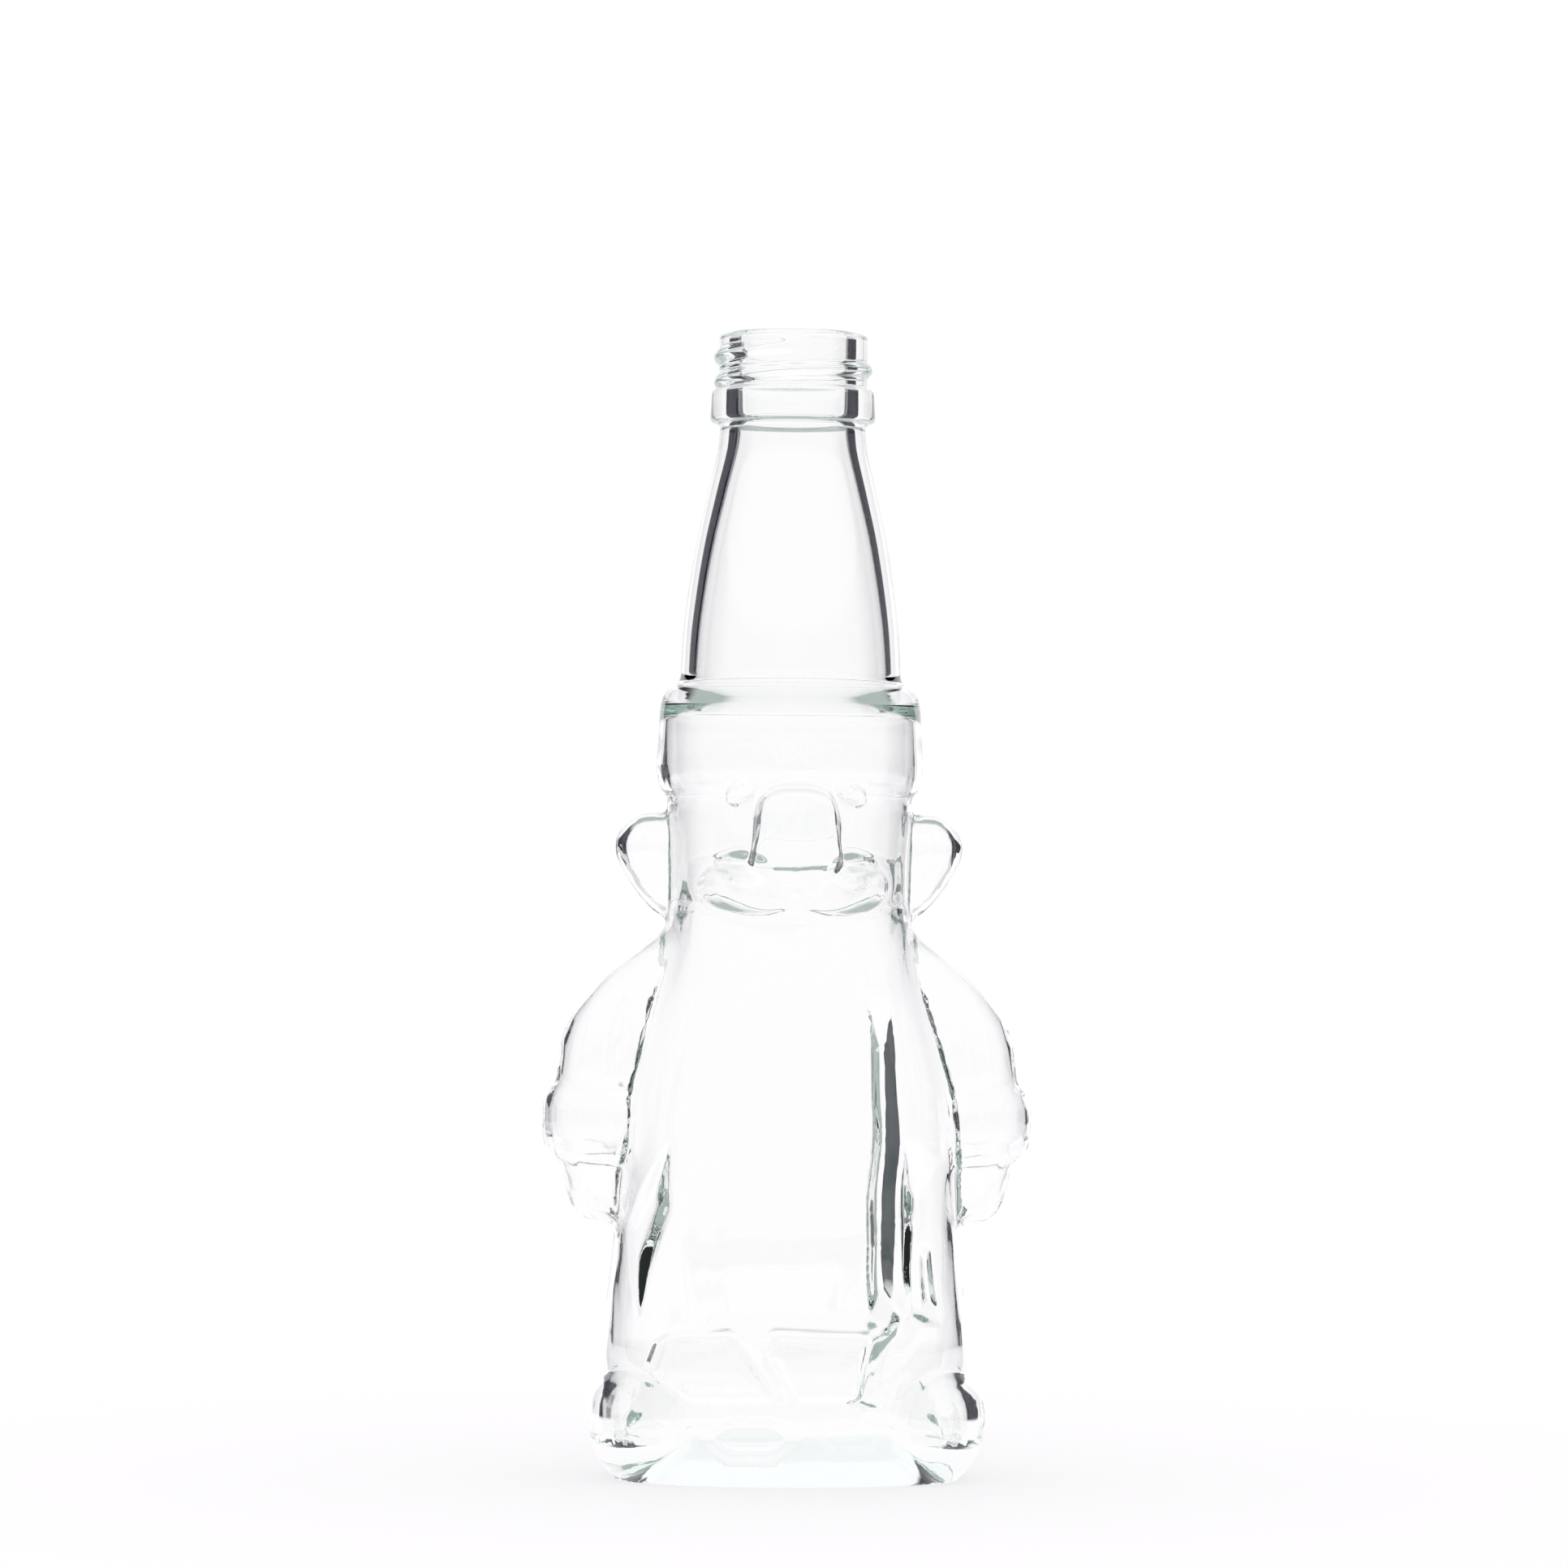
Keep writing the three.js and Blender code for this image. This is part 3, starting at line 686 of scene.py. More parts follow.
# Reliefs on the figure's front: the corners (x, z) of their outline, anticlockwise, with the width of the
# slope along the side that starts there. All in millimetres.
CHEEK = [(-19.0, 104.4, 2.6), (-5.6, 104.4, 3.0), (-4.6, 118.0, 10.0), (-19.0, 118.0, 9.0)]
BEARD = [(-17.6, 25.0, 4.0), (19.4, 25.0, 9.0), (18.6, 97.0, 26.0), (-16.8, 97.0, 7.0)]
LEFT_DIMPLE = oval(-9.4, 103.2, 5.0, 3.1, 2.1)
RIGHT_DIMPLE = oval(9.5, 103.0, 4.7, 3.1, 2.1)
FLAP_SLOPE = 1.2
LENS = even_slope(
    [(-15.4, 7.8), (-10.4, 4.4), (-3.0, 4.4), (2.0, 7.8), (-3.0, 11.2), (-10.4, 11.2)],
    FLAP_SLOPE,
)
LEFT_FLAP = even_slope(
    [(-25.2, 18.4), (-18.0, 12.4), (0.6, 12.8), (-9.0, 25.6), (-11.0, 26.8), (-21.0, 25.8), (-23.6, 24.0)],
    FLAP_SLOPE,
)
RIGHT_FLAP = even_slope(
    [(-5.6, 20.8), (0.4, 12.6), (12.2, 13.2), (13.8, 24.6), (12.2, 26.2), (-4.2, 27.0), (-5.8, 25.4)],
    FLAP_SLOPE,
)

# Ribs of thick glass inside the front, drawn in the same way.
BEARD_RIB = [(11.6, 27.4, 5.0), (18.0, 27.4, 4.2), (16.6, 82.0, 12.0), (12.4, 82.0, 1.3)]
FOLD = [(-26.2, 43.0, 1.8), (-25.6, 27.0, 1.5), (-19.6, 46.5, 1.5), (-20.8, 58.0, 2.2)]
RIGHT_PLEAT = [(20.6, 29.0, 2.0), (23.9, 29.0, 1.7), (23.0, 40.0, 3.0), (20.8, 40.0, 1.5)]
FURL_FOOT = [(8.6, 13.0, 2.0), (15.6, 13.0, 4.0), (24.0, 34.0, 2.0), (17.0, 34.0, 2.8)]
FURL_TOP = [(16.4, 27.0, 2.0), (24.6, 27.0, 5.0), (25.6, 56.0, 9.0), (17.8, 58.0, 2.8)]
SHOULDER_CREASE = [(-39.0, 64.0, 1.6), (-26.8, 64.0, 1.5), (-20.0, 89.0, 8.0), (-32.2, 89.0, 10.0)]
ELBOW_CREASE = [(-40.6, 42.0, 4.0), (-28.4, 42.0, 1.5), (-26.8, 66.0, 1.6), (-39.0, 66.0, 10.0)]
# Slopes narrower than this, in millimetres, get a finer mesh, and their points go into a group.
FINE_SLOPE = 4.4
SLOPES = "slopes"
# The finer mesh lies between these depths, in widths of the slope.
FINE_BAND = (-0.5, 2.2)
# How often its faces are cut, on the outer skin and on the coarser one of the hollow.
SKIN_CUTS = 1
HOLLOW_CUTS = 2
# Reliefs reach as far back as this, in millimetres.
FRONT = -5.0
# Waves of a hand-cut line: how far it strays, in millimetres, radians a millimetre, and phase.
STRAY_WAVES = [(0.4, 0.17, 0.6), (0.12, 0.41, 0.0)]

# Height, height of the rim along the slopes' upper end, both in millimetres, and outlines.
RELIEFS = [
    (2.2, 0.0, CHEEK),
    (2.2, 0.0, mirrored(CHEEK)),
    (-1.9, 0.0, LEFT_DIMPLE),
    (-1.9, 0.0, RIGHT_DIMPLE),
    (3.1, 0.0, BEARD),
    (0.9, -2.1, LEFT_FLAP),
    (0.9, -2.1, RIGHT_FLAP),
    (0.6, -2.0, LENS),
]
RIBS = [
    (-3.6, 0.0, BEARD_RIB),
    (-2.4, 0.0, FOLD),
    (-1.8, 0.0, RIGHT_PLEAT),
    (-2.9, 0.0, FURL_FOOT, FURL_TOP),
    (-1.9, 0.0, SHOULDER_CREASE, ELBOW_CREASE),
    (-1.9, 0.0, mirrored(SHOULDER_CREASE), mirrored(ELBOW_CREASE)),
]


def straying(level):
    """How far a hand-cut line strays sideways at a level, in millimetres."""
    return sum(reach * math.sin(rate * level + phase) for reach, rate, phase in STRAY_WAVES)


def relief_depth(outline, x, z):
    """How deep a point lies inside a relief's outline, in widths of the nearest slope, and that width."""
    depths = []
    for (x0, z0, slope), (x1, z1, _) in zip(outline, outline[1:] + outline[:1]):
        run, rise = x1 - x0, z1 - z0
        inside = (run * (z - z0) - rise * (x + straying(z) - x0)) / math.hypot(run, rise)
        depths.append((inside / slope, slope))
    return min(depths)


def on_fine_slope(outline, x, z):
    """Whether a point lies on or beside a narrow slope of a relief."""
    depth, slope = relief_depth(outline, x, z)
    return slope < FINE_SLOPE and FINE_BAND[0] < depth < FINE_BAND[1]


def refine_slopes(piece, reliefs, cuts):
    """Makes the mesh finer where reliefs have narrow slopes, and collects those points in a group."""
    only_select(piece)
    bpy.ops.object.mode_set(mode="EDIT")
    bpy.ops.mesh.select_mode(type="FACE")
    bpy.ops.mesh.select_all(action="DESELECT")
    bpy.ops.object.mode_set(mode="OBJECT")
    all_outlines = [outline for _, _, *outlines in reliefs for outline in outlines]
    for polygon in piece.data.polygons:
        x, y, z = polygon.center / MM
        polygon.select = y < FRONT and any(on_fine_slope(outline, x, z) for outline in all_outlines)
    bpy.ops.object.mode_set(mode="EDIT")
    bpy.ops.mesh.subdivide(number_cuts=cuts, smoothness=0.0)
    bpy.ops.mesh.select_mode(type="VERT")
    bpy.ops.object.mode_set(mode="OBJECT")
    slopes = piece.vertex_groups.new(name=SLOPES)
    slopes.add([vertex.index for vertex in piece.data.vertices if vertex.select], 1.0, "REPLACE")


def relief_height(reliefs, x, z):
    """Height of the reliefs at a point, in millimetres."""
    height = 0.0
    for full, rim, *outlines in reliefs:
        depth = max(relief_depth(outline, x, z)[0] for outline in outlines)
        height += full * min(max(depth, 0.0), 1.0) + rim * max(1.0 - abs(depth - 1.0), 0.0)
    return height


def raise_reliefs(piece, reliefs, cuts, passes):
    """Raises reliefs towards the front of a piece and fire-polishes their slopes."""
    refine_slopes(piece, reliefs, cuts)
    for vertex in piece.data.vertices:
        if vertex.co.y < FRONT * MM:
            vertex.co.y -= relief_height(reliefs, vertex.co.x / MM, vertex.co.z / MM) * MM
    apply_modifier(piece, "SMOOTH", factor=0.5, iterations=passes, vertex_group=SLOPES)
    piece.vertex_groups.clear()


class ELFBOTTLE_OT_figure(bpy.types.Operator):
    """Models the outside of the figure below the hat, and the hollow inside it"""

    bl_idname = "elf_bottle.figure"
    bl_label = "Figure"

    def execute(self, context):
        glass = context.scene.elf_bottle.glass
        outside = join_pieces("outside", [*add_blown(), *add_boots(), *add_solid()])
        face = copy_piece("face", outside)
        melt(outside, glass.skin_voxel, glass.skin_passes)
        raise_reliefs(outside, RELIEFS, SKIN_CUTS, glass.relief_passes)
        cut_level(outside, COLLAR_SEAM, keep_below=True, fill=False)
        cut_level(outside, 0.0, keep_below=False, fill=True)
        melt(face, glass.face_voxel, glass.face_passes)
        raise_reliefs(face, RELIEFS, SKIN_CUTS, glass.relief_passes)
        cut_level(face, SEAM, keep_below=True, fill=False)
        cut_level(face, COLLAR_SEAM + SEAM_GAP, keep_below=False, fill=False)

        inset = glass.wall / MM
        well = add_stacked("well", smooth_stations(WELL_STATIONS), PLINTH_SQUARENESS, BODY_SIDES)
        hollow = join_pieces("hollow", [*add_blown(inset), *add_boots(BOOT_SHARE * inset), well])
        melt(hollow, glass.hollow_voxel, glass.hollow_passes)
        raise_reliefs(hollow, RIBS, HOLLOW_CUTS, glass.relief_passes)
        cut_level(hollow, glass.floor, keep_below=False, fill=True)
        cut_level(hollow, SEAM, keep_below=True, fill=False)
        return {"FINISHED"}


# A point this close to a level or a radius lies on it.
ON_LEVEL = 0.01 * MM
ON_LIP = 0.3 * MM


def rim_radius(piece):
    """Mean radius of the open rim that the cut at the seam left on a piece."""
    radii = [vertex.co.xy.length for vertex in piece.data.vertices if abs(vertex.co.z - SEAM) < ON_LEVEL]
    if not radii:
        raise RuntimeError(f"{piece.name} has no rim at the seam")
    return sum(radii) / len(radii)


# Fillets of the bead: against the lip above it and the neck below it.
LIP_FILLET = 0.4 * MM
NECK_FILLET = 0.2 * MM
# Points of the lining between the brim's wall and the bell.
LINING_STEPS = 12


def finish_profile(hat, finish):
    """Profile of the finish, from the neck over bead and lip into the bore."""
    bead_foot = FINISH_FOOT + finish.bead_lift
    bead_top = bead_foot + finish.bead_height
    edge = finish.bead_rounding
    lip = finish.lip_rounding
    neck_top = (hat.neck_radius, bead_foot - edge)
    under = (finish.bead_radius - edge, bead_foot)
    bead_low = (finish.bead_radius, bead_foot + edge)
    bead_high = (finish.bead_top_radius, bead_top - edge)
    bead_in = (finish.bead_top_radius - edge, bead_top)
    lip_low = (finish.lip_radius, bead_top + LIP_FILLET)
    lip_high = (finish.lip_radius, LAND - lip)
    land_out = (finish.lip_radius - lip, LAND)
    land_in = (finish.bore_radius + lip, LAND)
    bore_high = (finish.bore_radius, LAND - lip)
    bore_low = (finish.bore_radius, FINISH_FOOT)
    return [
        *straight(hat_outline(hat)[-1], neck_top, 2),
        *curved(neck_top, (hat.neck_radius + NECK_FILLET, bead_foot), under, 4),
        *curved(under, (finish.bead_radius, bead_foot), bead_low, 4),
        *straight(bead_low, bead_high, 3),
        *curved(bead_high, (finish.bead_top_radius, bead_top), bead_in, 4),
        *curved(bead_in, (finish.lip_radius, bead_top), lip_low, 2),
        *straight(lip_low, lip_high, 26),
        *curved(lip_high, (finish.lip_radius, LAND), land_out, 6),
        *straight(land_out, land_in, 1),
        *curved(land_in, (finish.bore_radius, LAND), bore_high, 5),
        *straight(bore_high, bore_low, 4),
    ]


def lining_profile(hat, finish, inner_radius):
    """Inside of hat and brim, from the bore down to the seam."""
    thinner = hat.lining - (hat.neck_radius - finish.bore_radius)
    bell = []
    for radius, height in hat_outline(hat):
        share = (height - HAT_FOOT) / (FINISH_FOOT - HAT_FOOT)
        bell.append((radius - hat.lining + thinner * share, height))
    low = HAT_FOOT - hat.lining_drop
    high_radius, high = bell[1]
    brim = straight((inner_radius, BRIM_FULL), (inner_radius, low), 2)
    for step in range(1, LINING_STEPS):
        share = step / LINING_STEPS
        radius = inner_radius + (high_radius - inner_radius) * share**2 * (3 - 2 * share)
        brim.append((radius, low + (high - low) * share))
    return [*reversed(bell[1:-1]), *reversed(brim), (inner_radius, BRIM_FULL)]


def shell_profile(settings, inner_radius):
    """Profile of hat and finish: up the outside from the seam, over the lip and down the inside."""
    hat, finish = settings.hat, settings.finish
    return [
        *brim_and_hat(hat),
        *finish_profile(hat, finish),
        *lining_profile(hat, finish, inner_radius),
    ]


# The thread fades out over this share of a turn, and these powers round its ridge.
THREAD_FADE = 0.25
RIDGE_POWERS = (2.4, 1.3)


def raise_thread(piece, finish):
    """Raises the thread on the lip: a rounded ridge along a helix, which fades out at both ends."""
    low = LAND - finish.lip_rounding - finish.thread_top_drop - finish.thread_pitch * finish.thread_turns
    flank, crest = RIDGE_POWERS
    for vertex in piece.data.vertices:
        radius = vertex.co.xy.length
        if radius < finish.lip_radius - ON_LIP or not low < vertex.co.z < LAND:
            continue
        around = math.atan2(vertex.co.y, vertex.co.x) - finish.thread_top_angle
        ridge = 0.0
        for turn in range(-3, 2):
            turns_down = -(around / (2 * math.pi) + turn)
            if not 0 <= turns_down <= finish.thread_turns:
                continue
            middle = LAND - finish.thread_top_drop - finish.thread_pitch * turns_down
            offset = abs(vertex.co.z - middle) / (finish.thread_width / 2)
            from_end = min(turns_down, finish.thread_turns - turns_down)
            fade = min(1.0, from_end / THREAD_FADE)
            if offset < 1:
                ridge = max(ridge, (1 - offset**flank) ** crest * math.sin(fade * math.pi / 2))
        stretch = (finish.lip_radius + finish.thread_height * ridge) / radius
        if stretch > 1:
            vertex.co.x *= stretch
            vertex.co.y *= stretch


class ELFBOTTLE_OT_hat(bpy.types.Operator):
    """Turns the hat and the screw finish, outside and inside, and raises the thread"""

    bl_idname = "elf_bottle.hat"
    bl_label = "Hat and Screw Finish"

    def execute(self, context):
        settings = context.scene.elf_bottle
        inner_radius = rim_radius(bpy.data.objects["hollow"])
        shell = add_turned("shell", shell_profile(settings, inner_radius), SHELL_STEPS)
        raise_thread(shell, settings.finish)
        return {"FINISHED"}


def select_open_rims(piece):
    """Selects the open rims of a piece in edit mode, and gives the count of their points."""
    only_select(piece)
    bpy.ops.object.mode_set(mode="EDIT")
    bpy.ops.mesh.select_mode(type="EDGE")
    bpy.ops.mesh.select_all(action="DESELECT")
    bpy.ops.mesh.select_non_manifold(
        extend=False,
        use_wire=False,
        use_multi_face=False,
        use_non_contiguous=False,
        use_verts=False,
    )
    return piece.data.total_vert_sel


def bridge_rims(piece, level, low_radius, high_radius):
    """Bridges the two open rims at a seam that lie between two radii."""
    if not select_open_rims(piece):
        raise RuntimeError(f"{piece.name} has no open rims to bridge")
    bpy.ops.object.mode_set(mode="OBJECT")
    vertices = piece.data.vertices
    for edge in piece.data.edges:
        middle = sum((vertices[index].co for index in edge.vertices), Vector()) / 2
        at_level = abs(middle.z - level) < 2 * SEAM_GAP
        edge.select = edge.select and at_level and low_radius < middle.xy.length < high_radius
    bpy.ops.object.mode_set(mode="EDIT")
    bpy.ops.mesh.bridge_edge_loops()
    bpy.ops.mesh.select_mode(type="VERT")
    bpy.ops.object.mode_set(mode="OBJECT")


class ELFBOTTLE_OT_glass(bpy.types.Operator):
    """Joins hat, figure and hollow into one piece of glass and gives it its finish"""

    bl_idname = "elf_bottle.glass"
    bl_label = "Glass"

    def execute(self, context):
        settings = context.scene.elf_bottle
        parts = [bpy.data.objects[name] for name in ("outside", "face", "hollow", "shell")]
        middle = settings.hat.brim_radius - settings.glass.wall / 2
        bottle = join_pieces("bottle_glass", parts)
        bridge_rims(bottle, SEAM, middle, 2 * middle)
        bridge_rims(bottle, SEAM, 0.0, middle)
        bridge_rims(bottle, COLLAR_SEAM, 0.0, 2 * middle)
        if select_open_rims(bottle):
            raise RuntimeError("The glass is not closed")
        bpy.ops.mesh.select_mode(type="VERT")
        bpy.ops.mesh.select_all(action="SELECT")
        bpy.ops.mesh.normals_make_consistent(inside=False)
        bpy.ops.object.mode_set(mode="OBJECT")
        bpy.ops.object.shade_smooth()
        bottle.data.materials.clear()
        bottle.data.materials.append(clear_glass(settings.glass))
        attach(bottle, "root")
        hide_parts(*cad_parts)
        return {"FINISHED"}


# Materials.


GLASS_IOR = 1.52
# Waves of the blown surface: their count in a metre, strength and height.
WAVE_SCALE = 60.0
WAVE_STRENGTH = 0.1
WAVE_HEIGHT = 0.3 * MM


def clear_glass(look):
    """Clear glass with a faint green tint in its thickness and the slight waves of a blown surface."""
    material = bpy.data.materials.new("clear_glass")
    material.use_nodes = True
    tree = material.node_tree
    nodes, links = tree.nodes, tree.links
    shader = nodes["Principled BSDF"]
    shader.inputs["Base Color"].default_value = (1.0, 1.0, 1.0, 1.0)
    shader.inputs["Metallic"].default_value = 0.0
    shader.inputs["IOR"].default_value = GLASS_IOR
    shader.inputs["Transmission Weight"].default_value = 1.0
    shader.inputs["Roughness"].default_value = 0.0
    place = nodes.new("ShaderNodeTexCoord")
    waves = nodes.new("ShaderNodeTexNoise")
    waves.inputs["Scale"].default_value = WAVE_SCALE
    waves.inputs["Detail"].default_value = 1.0
    bump = nodes.new("ShaderNodeBump")
    bump.inputs["Strength"].default_value = WAVE_STRENGTH
    bump.inputs["Distance"].default_value = WAVE_HEIGHT
    links.new(place.outputs["Object"], waves.inputs["Vector"])
    links.new(waves.outputs["Fac"], bump.inputs["Height"])
    links.new(bump.outputs["Normal"], shader.inputs["Normal"])
    depth = nodes.new("ShaderNodeVolumeAbsorption")
    depth.inputs["Color"].default_value = (*look.tint, 1.0)
    depth.inputs["Density"].default_value = look.tint_density
    links.new(depth.outputs["Volume"], nodes["Material Output"].inputs["Volume"])
    return material


# Colours round the tent at the height of the bottle, by the angle in degrees from straight behind it.
TENT_WHITE = (1.07, 1.05, 1.07)
TENT_GAP = (0.008, 0.007, 0.020)
TENT_ROOM = (0.40, 0.47, 0.44)
TENT_STOPS = [
    (0, TENT_WHITE),
    (32, TENT_WHITE),
    (34, TENT_GAP),
    (74, TENT_GAP),
    (82, TENT_ROOM),
    (180, TENT_ROOM),
]
# How far the middle of the white wall lies to the right of straight behind.
TENT_TURN = math.radians(5.5)
# The roof begins, and the pale ground ends, between these heights of the unit direction.
TENT_TOP = (0.45, 0.6)
TENT_FOOT = (-0.145, -0.105)
# How much of the tent's colours the ground takes on.
TENT_ON_GROUND = 0.36
# The plain white that the camera sees behind the table, and that lights it.
PLAIN_WHITE = (1.03, 1.03, 1.03)

# The table's top, just above the foot of the glass so that the two faces don't coincide, and its glow.
TABLE_WIDTH = 8.0
TABLE_LEVEL = 0.02 * MM
TABLE_GLOW = (1.02, 1.0, 1.02)
TABLE_ROUGHNESS = 0.9
# The shadow fades between these distances from the axis, as the glow's share rises from the first.
SHADOW_REACH = (0.03, 0.22)
SHADOW_GLOW = (0.75, 1.0)
# In the glass the table ends between these distances.
TABLE_END = (0.10, 0.22)


def math_node(nodes, operation):
    """A node that works out one value."""
    node = nodes.new("ShaderNodeMath")
    node.operation = operation
    return node


def colour_mix(nodes):
    """A node that mixes two colours."""
    node = nodes.new("ShaderNodeMix")
    node.data_type = "RGBA"
    return node


def tent_wall():
    """Node group: the colour of the tent's wall in a direction from the bottle."""
    group = bpy.data.node_groups.new("tent_wall", "ShaderNodeTree")
    group.interface.new_socket("Direction", in_out="INPUT", socket_type="NodeSocketVector")
    group.interface.new_socket("Color", in_out="OUTPUT", socket_type="NodeSocketColor")
    nodes, links = group.nodes, group.links
    source = nodes.new("NodeGroupInput")
    result = nodes.new("NodeGroupOutput")
    turn = nodes.new("ShaderNodeVectorRotate")
    turn.rotation_type = "Z_AXIS"
    turn.inputs["Angle"].default_value = TENT_TURN
    split = nodes.new("ShaderNodeSeparateXYZ")
    across = math_node(nodes, "ABSOLUTE")
    bearing = math_node(nodes, "ARCTAN2")
    share = math_node(nodes, "DIVIDE")
    share.inputs[1].default_value = math.pi
    ramp = nodes.new("ShaderNodeValToRGB")
    elements = ramp.color_ramp.elements
    while len(elements) < len(TENT_STOPS):
        elements.new(0.5)
    for element, (degrees, colour) in zip(elements, TENT_STOPS):
        element.position = degrees / 180
        element.color = (*colour, 1.0)
    links.new(source.outputs["Direction"], turn.inputs["Vector"])
    links.new(turn.outputs["Vector"], split.inputs[0])
    links.new(split.outputs["X"], across.inputs[0])
    links.new(across.outputs[0], bearing.inputs[0])
    links.new(split.outputs["Y"], bearing.inputs[1])
    links.new(bearing.outputs[0], share.inputs[0])
    links.new(share.outputs[0], ramp.inputs["Fac"])
    links.new(ramp.outputs["Color"], result.inputs["Color"])
    return group


def map_range(nodes, low, high, low_result=0.0, high_result=1.0):
    """A smooth step between two values."""
    node = nodes.new("ShaderNodeMapRange")
    node.interpolation_type = "SMOOTHSTEP"
    node.inputs["From Min"].default_value = low
    node.inputs["From Max"].default_value = high
    node.inputs["To Min"].default_value = low_result
    node.inputs["To Max"].default_value = high_result
    return node


def table_material(look):
    """Pale table, white round the bottle's shadow; seen in the glass it ends where the tent begins."""
    material = bpy.data.materials.new("pale_table")
    material.use_nodes = True
    tree = material.node_tree
    nodes, links = tree.nodes, tree.links
    shader = nodes["Principled BSDF"]
    shader.inputs["Base Color"].default_value = (*look.table_colour, 1.0)
    shader.inputs["Roughness"].default_value = TABLE_ROUGHNESS
    glow = nodes.new("ShaderNodeEmission")
    glow.inputs["Color"].default_value = (*TABLE_GLOW, 1.0)
    through = nodes.new("ShaderNodeBsdfTransparent")
    place = nodes.new("ShaderNodeTexCoord")
    away = nodes.new("ShaderNodeVectorMath")
    away.operation = "LENGTH"
    fade = map_range(nodes, *SHADOW_REACH, *SHADOW_GLOW)
    far = map_range(nodes, *TABLE_END)
    links.new(place.outputs["Object"], away.inputs[0])
    links.new(away.outputs["Value"], fade.inputs["Value"])
    links.new(away.outputs["Value"], far.inputs["Value"])
    path = nodes.new("ShaderNodeLightPath")
    in_glass = math_node(nodes, "MAXIMUM")
    share = math_node(nodes, "MULTIPLY_ADD")
    far_glass = math_node(nodes, "MULTIPLY")
    links.new(path.outputs["Is Glossy Ray"], in_glass.inputs[0])
    links.new(path.outputs["Is Transmission Ray"], in_glass.inputs[1])
    links.new(path.outputs["Is Camera Ray"], share.inputs[0])
    links.new(fade.outputs["Result"], share.inputs[1])
    links.new(in_glass.outputs[0], share.inputs[2])
    links.new(far.outputs["Result"], far_glass.inputs[0])
    links.new(in_glass.outputs[0], far_glass.inputs[1])
    glowing = nodes.new("ShaderNodeMixShader")
    ended = nodes.new("ShaderNodeMixShader")
    links.new(share.outputs[0], glowing.inputs["Fac"])
    links.new(shader.outputs["BSDF"], glowing.inputs[1])
    links.new(glow.outputs["Emission"], glowing.inputs[2])
    links.new(far_glass.outputs[0], ended.inputs["Fac"])
    links.new(glowing.outputs["Shader"], ended.inputs[1])
    links.new(through.outputs["BSDF"], ended.inputs[2])
    links.new(ended.outputs["Shader"], nodes["Material Output"].inputs["Surface"])
    return material


def light_tent():
    """A white tent with a dark upright gap on each side, which draws the dark lines along the glass."""
    world = bpy.data.worlds.new("light_tent")
    world.use_nodes = True
    tree = world.node_tree
    nodes, links = tree.nodes, tree.links
    background = nodes["Background"]
    background.inputs["Strength"].default_value = 1.0
    place = nodes.new("ShaderNodeTexCoord")
    split = nodes.new("ShaderNodeSeparateXYZ")
    walls = nodes.new("ShaderNodeGroup")
    walls.node_tree = tent_wall()
    links.new(place.outputs["Generated"], walls.inputs["Direction"])
    links.new(place.outputs["Generated"], split.inputs[0])
    foot = map_range(nodes, *TENT_FOOT, TENT_ON_GROUND, 1.0)
    grounded = colour_mix(nodes)
    grounded.inputs["A"].default_value = (*TENT_WHITE, 1.0)
    links.new(split.outputs["Z"], foot.inputs["Value"])
    links.new(foot.outputs["Result"], grounded.inputs["Factor"])
    links.new(walls.outputs["Color"], grounded.inputs["B"])
    top = map_range(nodes, *TENT_TOP)
    roofed = colour_mix(nodes)
    roofed.inputs["B"].default_value = (*TENT_ROOM, 1.0)
    links.new(split.outputs["Z"], top.inputs["Value"])
    links.new(top.outputs["Result"], roofed.inputs["Factor"])
    links.new(grounded.outputs["Result"], roofed.inputs["A"])
    path = nodes.new("ShaderNodeLightPath")
    plain = math_node(nodes, "MAXIMUM")
    seen = colour_mix(nodes)
    seen.inputs["B"].default_value = (*PLAIN_WHITE, 1.0)
    links.new(path.outputs["Is Camera Ray"], plain.inputs[0])
    links.new(path.outputs["Is Diffuse Ray"], plain.inputs[1])
    links.new(plain.outputs[0], seen.inputs["Factor"])
    links.new(roofed.outputs["Result"], seen.inputs["A"])
    links.new(seen.outputs["Result"], background.inputs["Color"])
    return world


# Light runs to and fro in the glass this often before it is given up.
GLASS_BOUNCES = 40
# The camera's sensor, in millimetres, and the nearest thing that it sees.
SENSOR_WIDTH = 36.0
CLIP_START = 0.01


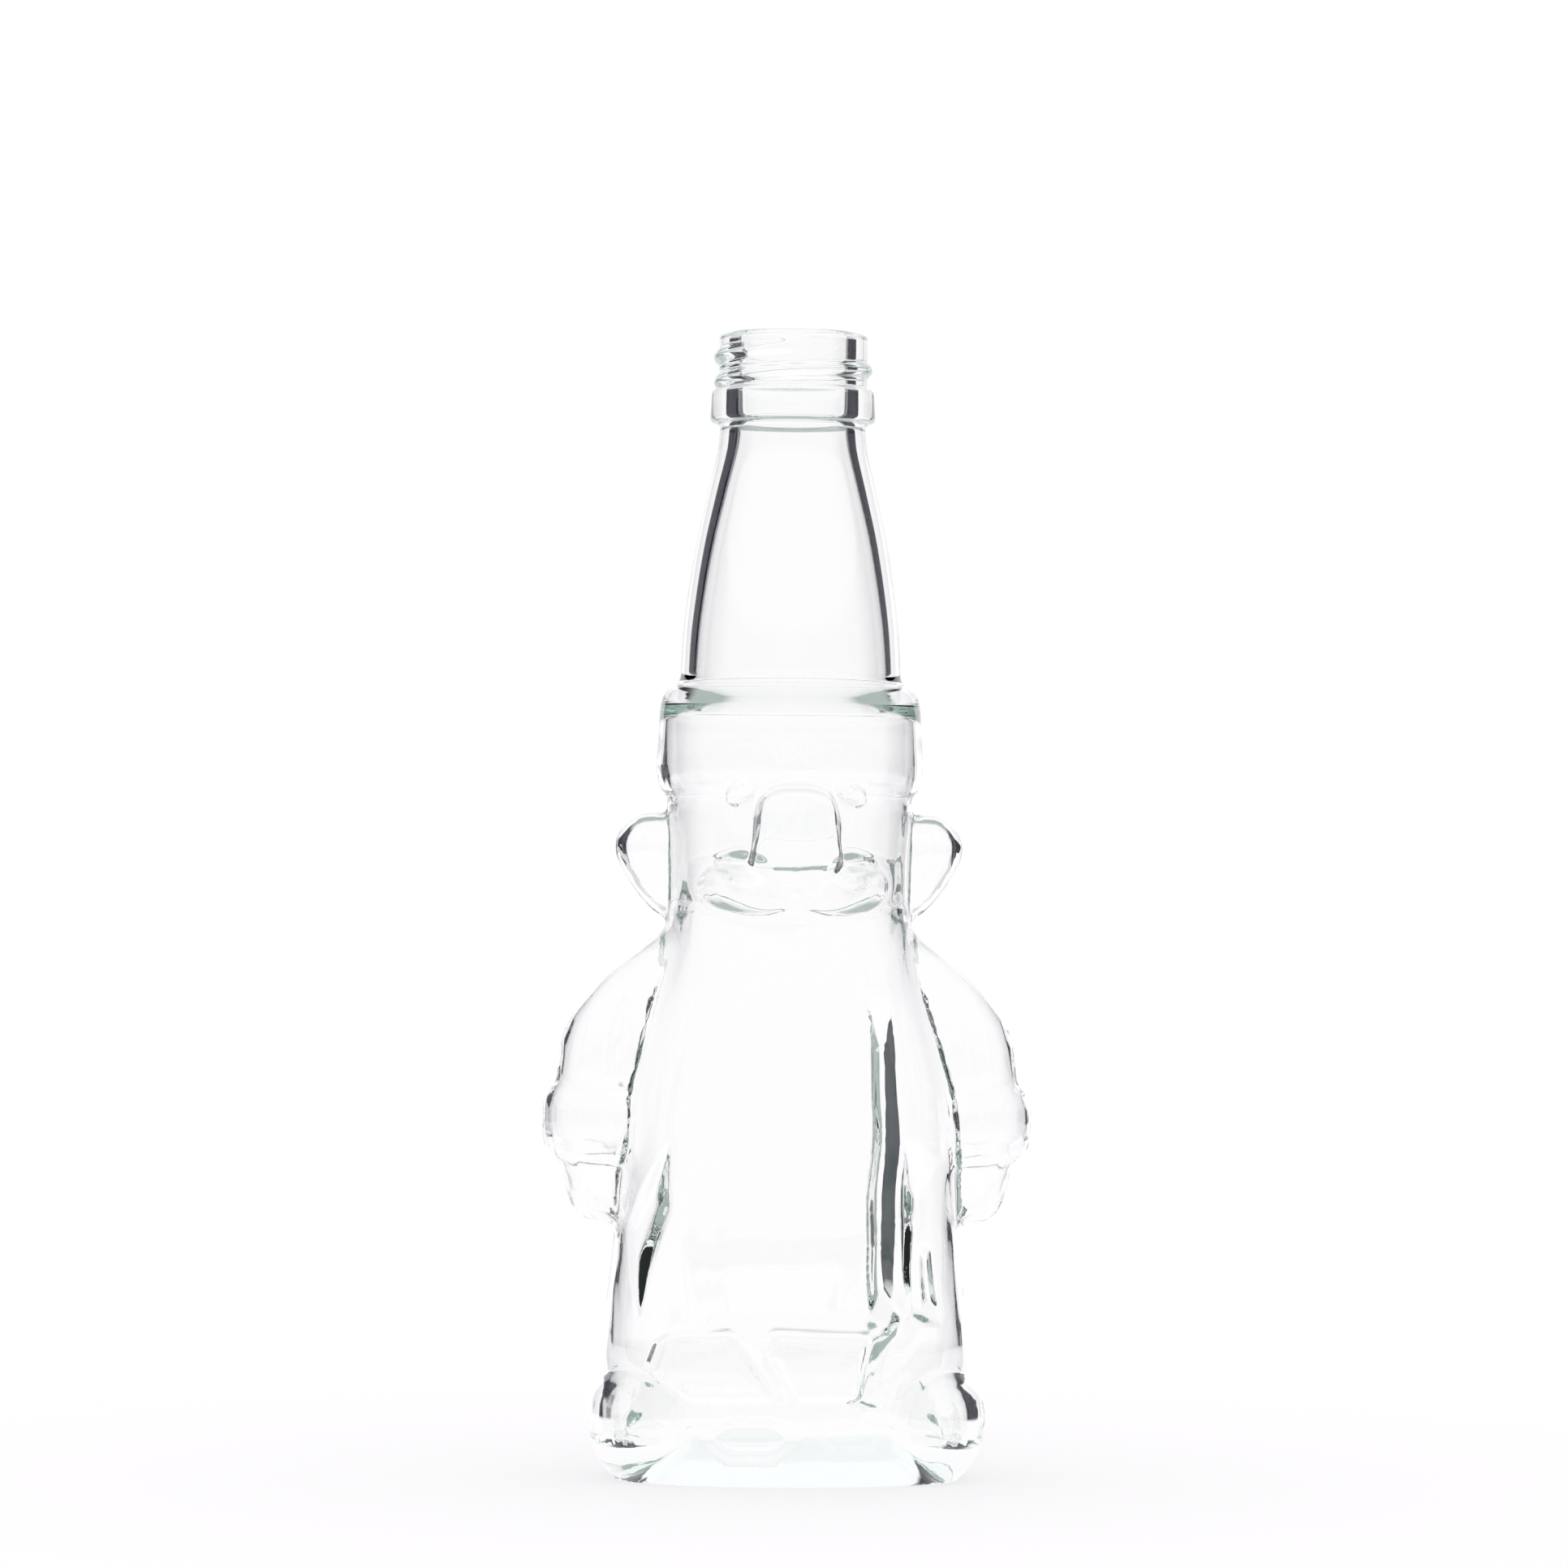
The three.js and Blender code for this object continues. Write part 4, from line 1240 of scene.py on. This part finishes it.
class ELFBOTTLE_OT_stage(bpy.types.Operator):
    """Sets the table, the light tent and the camera"""

    bl_idname = "elf_bottle.stage"
    bl_label = "Stage"

    def execute(self, context):
        scene, look = context.scene, context.scene.elf_bottle.stage
        bpy.ops.object.select_all(action="DESELECT")
        bpy.ops.mesh.primitive_plane_add(size=TABLE_WIDTH, location=(0, 0, TABLE_LEVEL))
        table = active_piece("table")
        table.data.materials.append(table_material(look))
        scene.world = light_tent()

        distance, azimuth = look.camera_distance, look.camera_azimuth
        place = Vector((distance * math.sin(azimuth), -distance * math.cos(azimuth), look.camera_height))
        aim = Vector((0.0, 0.0, look.aim_height))
        bpy.ops.object.camera_add(location=place)
        camera = bpy.context.object
        camera.name = "camera"
        turn = (aim - place).to_track_quat("-Z", "Y").to_matrix()
        camera.rotation_euler = (turn @ Matrix.Rotation(look.camera_roll, 3, "Z")).to_euler()
        camera.data.sensor_width = SENSOR_WIDTH
        camera.data.lens = SENSOR_WIDTH * distance / look.picture_width
        camera.data.shift_x = look.camera_shift
        camera.data.clip_start = CLIP_START
        scene.camera = camera
        scene.view_settings.view_transform = "Standard"
        scene.cycles.max_bounces = GLASS_BOUNCES
        scene.cycles.glossy_bounces = GLASS_BOUNCES
        scene.cycles.transmission_bounces = GLASS_BOUNCES
        return {"FINISHED"}


class ELFBOTTLE_PT_panel(bpy.types.Panel):
    """Lists the steps that make the bottle"""

    bl_idname = "ELFBOTTLE_PT_panel"
    bl_label = "Elf Bottle"
    bl_space_type = "VIEW_3D"
    bl_region_type = "UI"
    bl_category = "Elf Bottle"

    def draw(self, context):
        for operator in OPERATORS:
            self.layout.operator(operator.bl_idname)


OPERATORS = (ELFBOTTLE_OT_figure, ELFBOTTLE_OT_hat, ELFBOTTLE_OT_glass, ELFBOTTLE_OT_stage)
CLASSES = (FinishSizes, HatSizes, GlassLook, StageLook, ElfBottleSettings, *OPERATORS, ELFBOTTLE_PT_panel)


def register():
    """Makes the sizes, operators and panel known."""
    for item in CLASSES:
        bpy.utils.register_class(item)
    bpy.types.Scene.elf_bottle = PointerProperty(type=ElfBottleSettings)


def unregister():
    """Takes them away again."""
    del bpy.types.Scene.elf_bottle
    for item in reversed(CLASSES):
        bpy.utils.unregister_class(item)


def main():
    """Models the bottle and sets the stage."""
    register()
    bpy.ops.elf_bottle.figure()
    bpy.ops.elf_bottle.hat()
    bpy.ops.elf_bottle.glass()
    bpy.ops.elf_bottle.stage()


if __name__ == "__main__":
    main()
